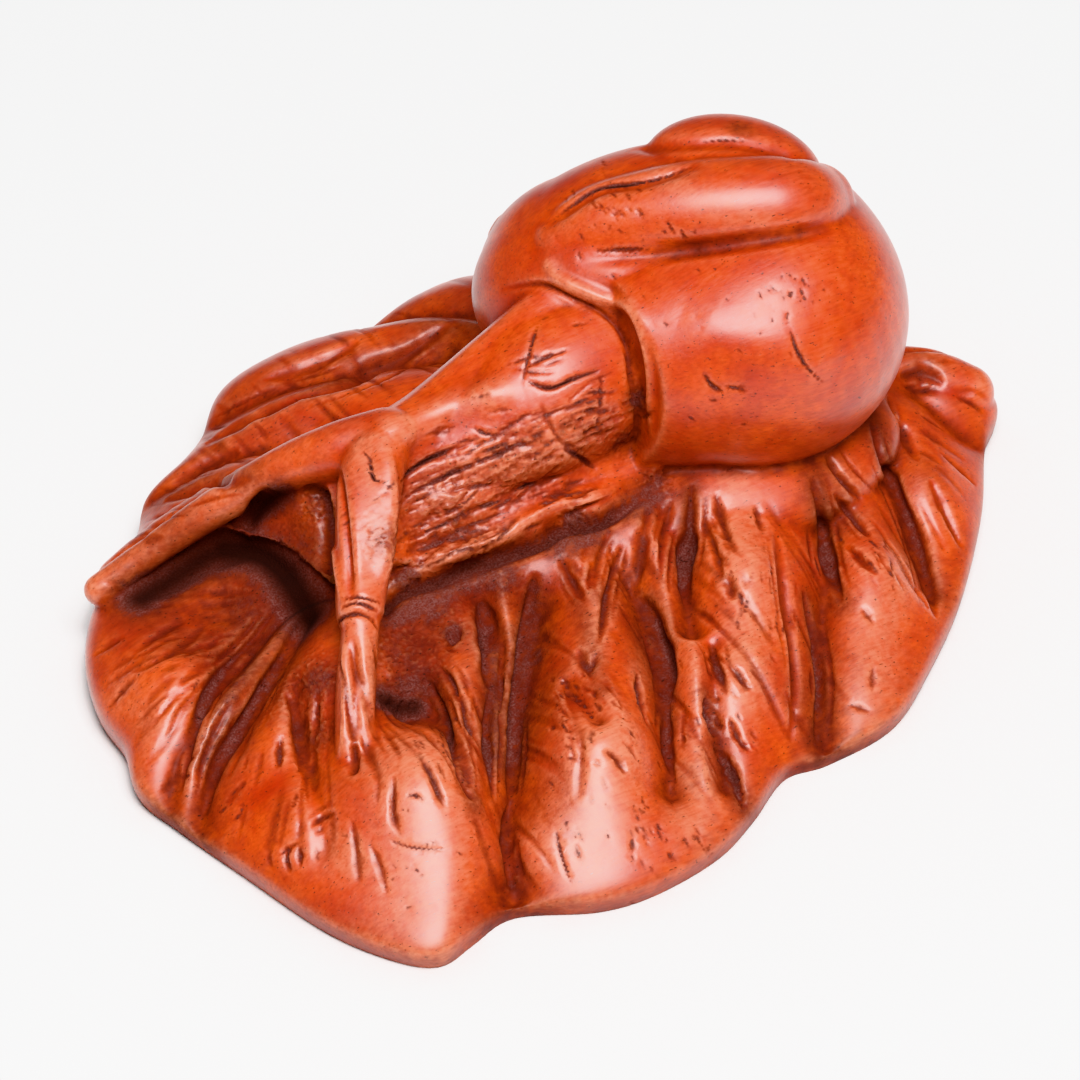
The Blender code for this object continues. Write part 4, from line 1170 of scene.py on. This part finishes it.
def carry_over(points, values, body):
    """Give the finished body the values of the points nearest to its own."""
    tree = KDTree(len(points))
    for i, point in enumerate(points):
        tree.insert(point, i)
    tree.balance()
    nearest = [tree.find(point)[1] for point in mesh_points(body.data)]
    for name, value in values.items():
        layer = body.data.attributes.new(name, "FLOAT", "POINT")
        layer.data.foreach_set("value", value[nearest].astype(np.float32))


def cut_cord_channel(body):
    """Cut the bowed channel between the cord holes."""
    (first, wide), (last, narrow) = CORD_HOLES
    bow = []
    for share in np.linspace(0.0, 1.0, CHANNEL_POINTS):
        x, y = (first[k] + (last[k] - first[k]) * share for k in (0, 1))
        arch = math.sin(math.pi * share) ** CHANNEL_POWER
        z = (CHANNEL_DEPTH + UNDER_SPARE) * arch - UNDER_SPARE
        bow.append(((x, y, z), wide + (narrow - wide) * share))
    channel = tube("channel_cutter", bow, rounded=False, steps=4, resolution=10)
    set_modifier(body, "BOOLEAN", object=channel, operation="DIFFERENCE", solver="EXACT")
    apply_modifiers(body)
    bpy.data.objects.remove(channel)


def add_node(tree, kind, sockets=None, **settings):
    """Add a node with its settings, and give its sockets values or links."""
    node = tree.nodes.new(kind)
    for name, value in settings.items():
        setattr(node, name, value)
    for socket, value in (sockets or {}).items():
        if isinstance(value, bpy.types.NodeSocket):
            tree.links.new(value, node.inputs[socket])
        else:
            node.inputs[socket].default_value = value
    return node


def stained_boxwood(finish):
    """Boxwood, carved with knives, stained red and waxed: a tight pale grain under an orange-red
    stain that gathers dark in the cuts, rubs thin on the high places and shines softly. Shade is
    painted dark into the hollows, the valleys, the face, under the tentacles and the foot and along
    the rim's lower edge, and highlights are painted pale on the lobes, ridges, tentacles and shell."""
    wood = bpy.data.materials.new("stained_waxed_boxwood")
    wood.use_nodes = True
    tree = wood.node_tree
    shader = tree.nodes["Principled BSDF"]
    place = add_node(tree, "ShaderNodeTexCoord").outputs["Object"]
    made = {}
    for name in ("hollow", "worn_and_highlight", "stain_and_shade"):
        made[name] = add_node(tree, "ShaderNodeAttribute", attribute_name=name).outputs["Fac"]
    for name, (size, detail, stretch, turn) in WOOD_PATTERNS.items():
        turned = add_node(tree, "ShaderNodeMapping", {
            "Vector": place, "Rotation": (0.0, 0.0, math.radians(turn)), "Scale": stretch})
        clouds = add_node(tree, "ShaderNodeTexNoise", {
            "Vector": turned.outputs[0], "Scale": 1.0 / (size * MM), "Detail": detail,
            "Roughness": PATTERN_ROUGHNESS})
        made[name] = clouds.outputs["Fac"]
    for name, operation, *values in WOOD_STEPS:
        sockets = {i: made.get(value, value) for i, value in enumerate(values)}
        if operation == "RANGE":
            step = add_node(tree, "ShaderNodeMapRange", sockets)
        else:
            step = add_node(tree, "ShaderNodeMath", sockets, operation=operation)
        made[name] = step.outputs[0]
    colour = finish.stain_red
    for share, layer in WOOD_COLOURS:
        sockets = {0: made[share], 6: colour, 7: getattr(finish, layer)}
        colour = add_node(tree, "ShaderNodeMix", sockets, data_type="RGBA").outputs[2]
    bump = add_node(tree, "ShaderNodeBump", {
        "Height": made["relief"], "Strength": RELIEF_STRENGTH, "Distance": RELIEF_HEIGHT * MM})
    for socket, value in (("Base Color", colour), ("Roughness", made["roughness"]),
                          ("Coat Weight", made["polish"]), ("Normal", bump.outputs[0])):
        tree.links.new(value, shader.inputs[socket])
    shader.inputs["IOR"].default_value = 1.5
    shader.inputs["Specular IOR Level"].default_value = 0.3
    shader.inputs["Coat Roughness"].default_value = 0.32
    return wood


def matt_paper(colour):
    """Seamless studio paper: plain, nearly white and quite matt, so it shows only soft shadows."""
    paper = bpy.data.materials.new("matt_studio_paper")
    paper.use_nodes = True
    shader = paper.node_tree.nodes["Principled BSDF"]
    shader.inputs["Base Color"].default_value = colour
    shader.inputs["Roughness"].default_value = 0.9
    shader.inputs["Specular IOR Level"].default_value = 0.1
    return paper


class NetsukeSizes(bpy.types.PropertyGroup):
    """Sizes of the carving that a user would change."""

    leaf_dome: FloatProperty(
        name="Leaf dome", description="Rise of the leaf's middle above its rim",
        default=4.4 * MM, min=0.0, unit="LENGTH")
    valley_depth: FloatProperty(
        name="Valley depth", description="Depth of the deepest valley between two lobes of the leaf",
        default=2.6 * MM, min=0.0, unit="LENGTH")


class NetsukeFinish(bpy.types.PropertyGroup):
    """Colours of the stained and waxed boxwood, and of the shade and highlights painted on it."""

    stain_orange: FloatVectorProperty(
        name="Stain, thin", description="The red stain where the pale wood shows through it",
        default=linear("#d04e0c"), subtype="COLOR", size=4, min=0.0, max=1.0)
    stain_red: FloatVectorProperty(
        name="Stain, thick", description="The red stain where it lies thick",
        default=linear("#a82a07"), subtype="COLOR", size=4, min=0.0, max=1.0)
    # pale wear on the high places, which also paints the highlights on the lobes, ridges, tentacles
    # and shell
    pale_wear_and_highlight: FloatVectorProperty(
        name="Worn edges", description="High places where handling has rubbed the stain thin",
        default=linear("#de8a68"), subtype="COLOR", size=4, min=0.0, max=1.0)
    grain_brown: FloatVectorProperty(
        name="Grain", description="Lines of the grain under the stain",
        default=linear("#7c1f07"), subtype="COLOR", size=4, min=0.0, max=1.0)
    # recess stain, which also paints the shade in the hollows, the valleys, the rim's lower edge and
    # under the tentacles and foot
    recess_stain_and_shade_brown: FloatVectorProperty(
        name="Recesses", description="Stain and wax gathered in the hollows",
        default=linear("#4c140b"), subtype="COLOR", size=4, min=0.0, max=1.0)
    # the darkest stain, which also paints the black shadow under the left tentacle, in the face and by
    # the right tentacle's tip
    black_stain_and_shadow: FloatVectorProperty(
        name="Cuts", description="The darkest stain, at the bottom of the cuts",
        default=linear("#1a0805"), subtype="COLOR", size=4, min=0.0, max=1.0)
    dust_grey: FloatVectorProperty(
        name="Dust", description="Greyish dust held by the wax in the cuts",
        default=linear("#7d5450"), subtype="COLOR", size=4, min=0.0, max=1.0)


class StudioSettings(bpy.types.PropertyGroup):
    """The floor and the light."""

    floor_colour: FloatVectorProperty(
        name="Floor", description="Colour of the studio paper",
        default=linear("#f0f0f0"), subtype="COLOR", size=4, min=0.0, max=1.0)
    lamp_power: FloatProperty(
        name="Softbox", description="Power of the softbox over the netsuke",
        default=2.4, min=0.0, unit="POWER")
    fill_light: FloatProperty(
        name="Fill", description="Brightness of the white room round the floor",
        default=0.12, min=0.0, subtype="FACTOR")


class NETSUKE_OT_carve(bpy.types.Operator):
    """Carve the snail on its leaf and give it its finish"""

    bl_idname = "netsuke.carve"
    bl_label = "Carve snail on leaf"

    def execute(self, context):
        sizes = context.scene.netsuke_sizes
        chance = np.random.default_rng(CHANCE_SEED)
        others = [piece for piece in bpy.data.objects if piece.type == "MESH"]
        neck()
        tube("neck_core", NECK_CORE)
        face()
        tube("left_backing", LEFT_BACKING)
        tube("left_tentacle", LEFT_TENTACLE)
        tube("right_tentacle", RIGHT_TENTACLE)
        tube("stem_roll", STEM_ROLL)
        shell()
        leaf(sizes.leaf_dome / MM, sizes.valley_depth / MM)
        body = fuse("carved_netsuke", others)
        wood = Wood(body, chance)
        carve_broad(wood)
        carve_furrows(wood)
        carve_streaks(wood)
        wood.look()
        carve_scores(wood)
        carve_fine(wood)
        # patches of stain, some of them painted shade beside the tentacles, in the face and under the
        # foot
        for centre, reach, stain_and_shade, pits in STAIN_AND_SHADE_PATCHES:
            wood.dab(centre, reach, stain_and_shade, pits)
        # painted highlights, laid on as places rubbed pale
        for reach, share, line in PAINTED_HIGHLIGHT_LINES:
            wood.spread(wood.painted_highlight, line, reach, share)
        # painted shadow under the tentacles and the foot and in the face, and stain with painted shade
        # in the valleys
        for reach, share, line in SHADOW_AND_STAIN_LINES:
            wood.spread(wood.stain_and_shade, line, reach, share)
        level_underside(wood)
        wood.look()
        hollow, worn_and_highlight = wear_maps(wood)
        triangles = 2 * len(body.data.polygons)
        set_modifier(body, "DECIMATE", ratio=min(1.0, MOST_TRIANGLES / triangles))
        apply_modifiers(body)
        cut_cord_channel(body)
        carry_over(wood.points, {"hollow": hollow, "worn_and_highlight": worn_and_highlight, "stain_and_shade": wood.stain_and_shade}, body)
        body.data.shade_smooth()
        body.data.materials.clear()
        body.data.materials.append(stained_boxwood(context.scene.netsuke_finish))
        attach(body, BODY)
        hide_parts(CAD_NODE)
        return {"FINISHED"}


class NETSUKE_OT_stage(bpy.types.Operator):
    """Lay the floor, hang the light and set up the camera"""

    bl_idname = "netsuke.stage"
    bl_label = "Set up studio"

    def execute(self, context):
        scene = context.scene
        studio = scene.netsuke_studio
        bpy.ops.mesh.primitive_plane_add(size=PAPER_SIDE)
        floor = context.object
        floor.name = "studio_floor"
        floor.data.materials.append(matt_paper(studio.floor_colour))
        room = bpy.data.worlds.new("white_room")
        room.use_nodes = True
        walls = room.node_tree.nodes["Background"]
        walls.inputs["Color"].default_value = (1.0, 1.0, 1.0, 1.0)
        walls.inputs["Strength"].default_value = studio.fill_light
        scene.world = room
        softbox = bpy.data.lights.new("softbox", "AREA")
        softbox.shape = "RECTANGLE"
        softbox.size, softbox.size_y = SOFTBOX_SIDES
        softbox.energy = studio.lamp_power
        lamp = add_object("softbox", softbox)
        lamp.location = SOFTBOX_PLACE
        aim = Vector(SOFTBOX_AIM) - lamp.location
        lamp.rotation_euler = aim.to_track_quat("-Z", "Y").to_euler()
        camera = bpy.data.cameras.new("camera")
        camera.lens = CAMERA_LENS
        camera.sensor_width = CAMERA_SENSOR
        camera.clip_start = 0.01
        holder = add_object("camera", camera)
        back, right, up = picture_axes()
        turned = Matrix((right, up, back)).transposed().to_4x4()
        turned.translation = Vector(camera_place()) * MM
        holder.matrix_world = turned
        scene.camera = holder
        scene.view_settings.view_transform = "Khronos PBR Neutral"
        return {"FINISHED"}


class NETSUKE_PT_panel(bpy.types.Panel):
    """The netsuke's sizes, colours and light"""

    bl_idname = "NETSUKE_PT_panel"
    bl_label = "Snail on leaf"
    bl_space_type = "VIEW_3D"
    bl_region_type = "UI"
    bl_category = "Netsuke"

    def draw(self, context):
        layout = self.layout
        for settings, operator in (("netsuke_sizes", "netsuke.carve"), ("netsuke_finish", None),
                                   ("netsuke_studio", "netsuke.stage")):
            group = getattr(context.scene, settings)
            for name in group.__annotations__:
                layout.prop(group, name)
            if operator:
                layout.operator(operator)


CLASSES = (NetsukeSizes, NetsukeFinish, StudioSettings, NETSUKE_OT_carve, NETSUKE_OT_stage,
           NETSUKE_PT_panel)


def register():
    for kind in CLASSES:
        bpy.utils.register_class(kind)
    bpy.types.Scene.netsuke_sizes = PointerProperty(type=NetsukeSizes)
    bpy.types.Scene.netsuke_finish = PointerProperty(type=NetsukeFinish)
    bpy.types.Scene.netsuke_studio = PointerProperty(type=StudioSettings)


def unregister():
    del bpy.types.Scene.netsuke_sizes
    del bpy.types.Scene.netsuke_finish
    del bpy.types.Scene.netsuke_studio
    for kind in reversed(CLASSES):
        bpy.utils.unregister_class(kind)


def main():
    register()
    bpy.ops.netsuke.carve()
    bpy.ops.netsuke.stage()


if __name__ == "__main__":
    main()
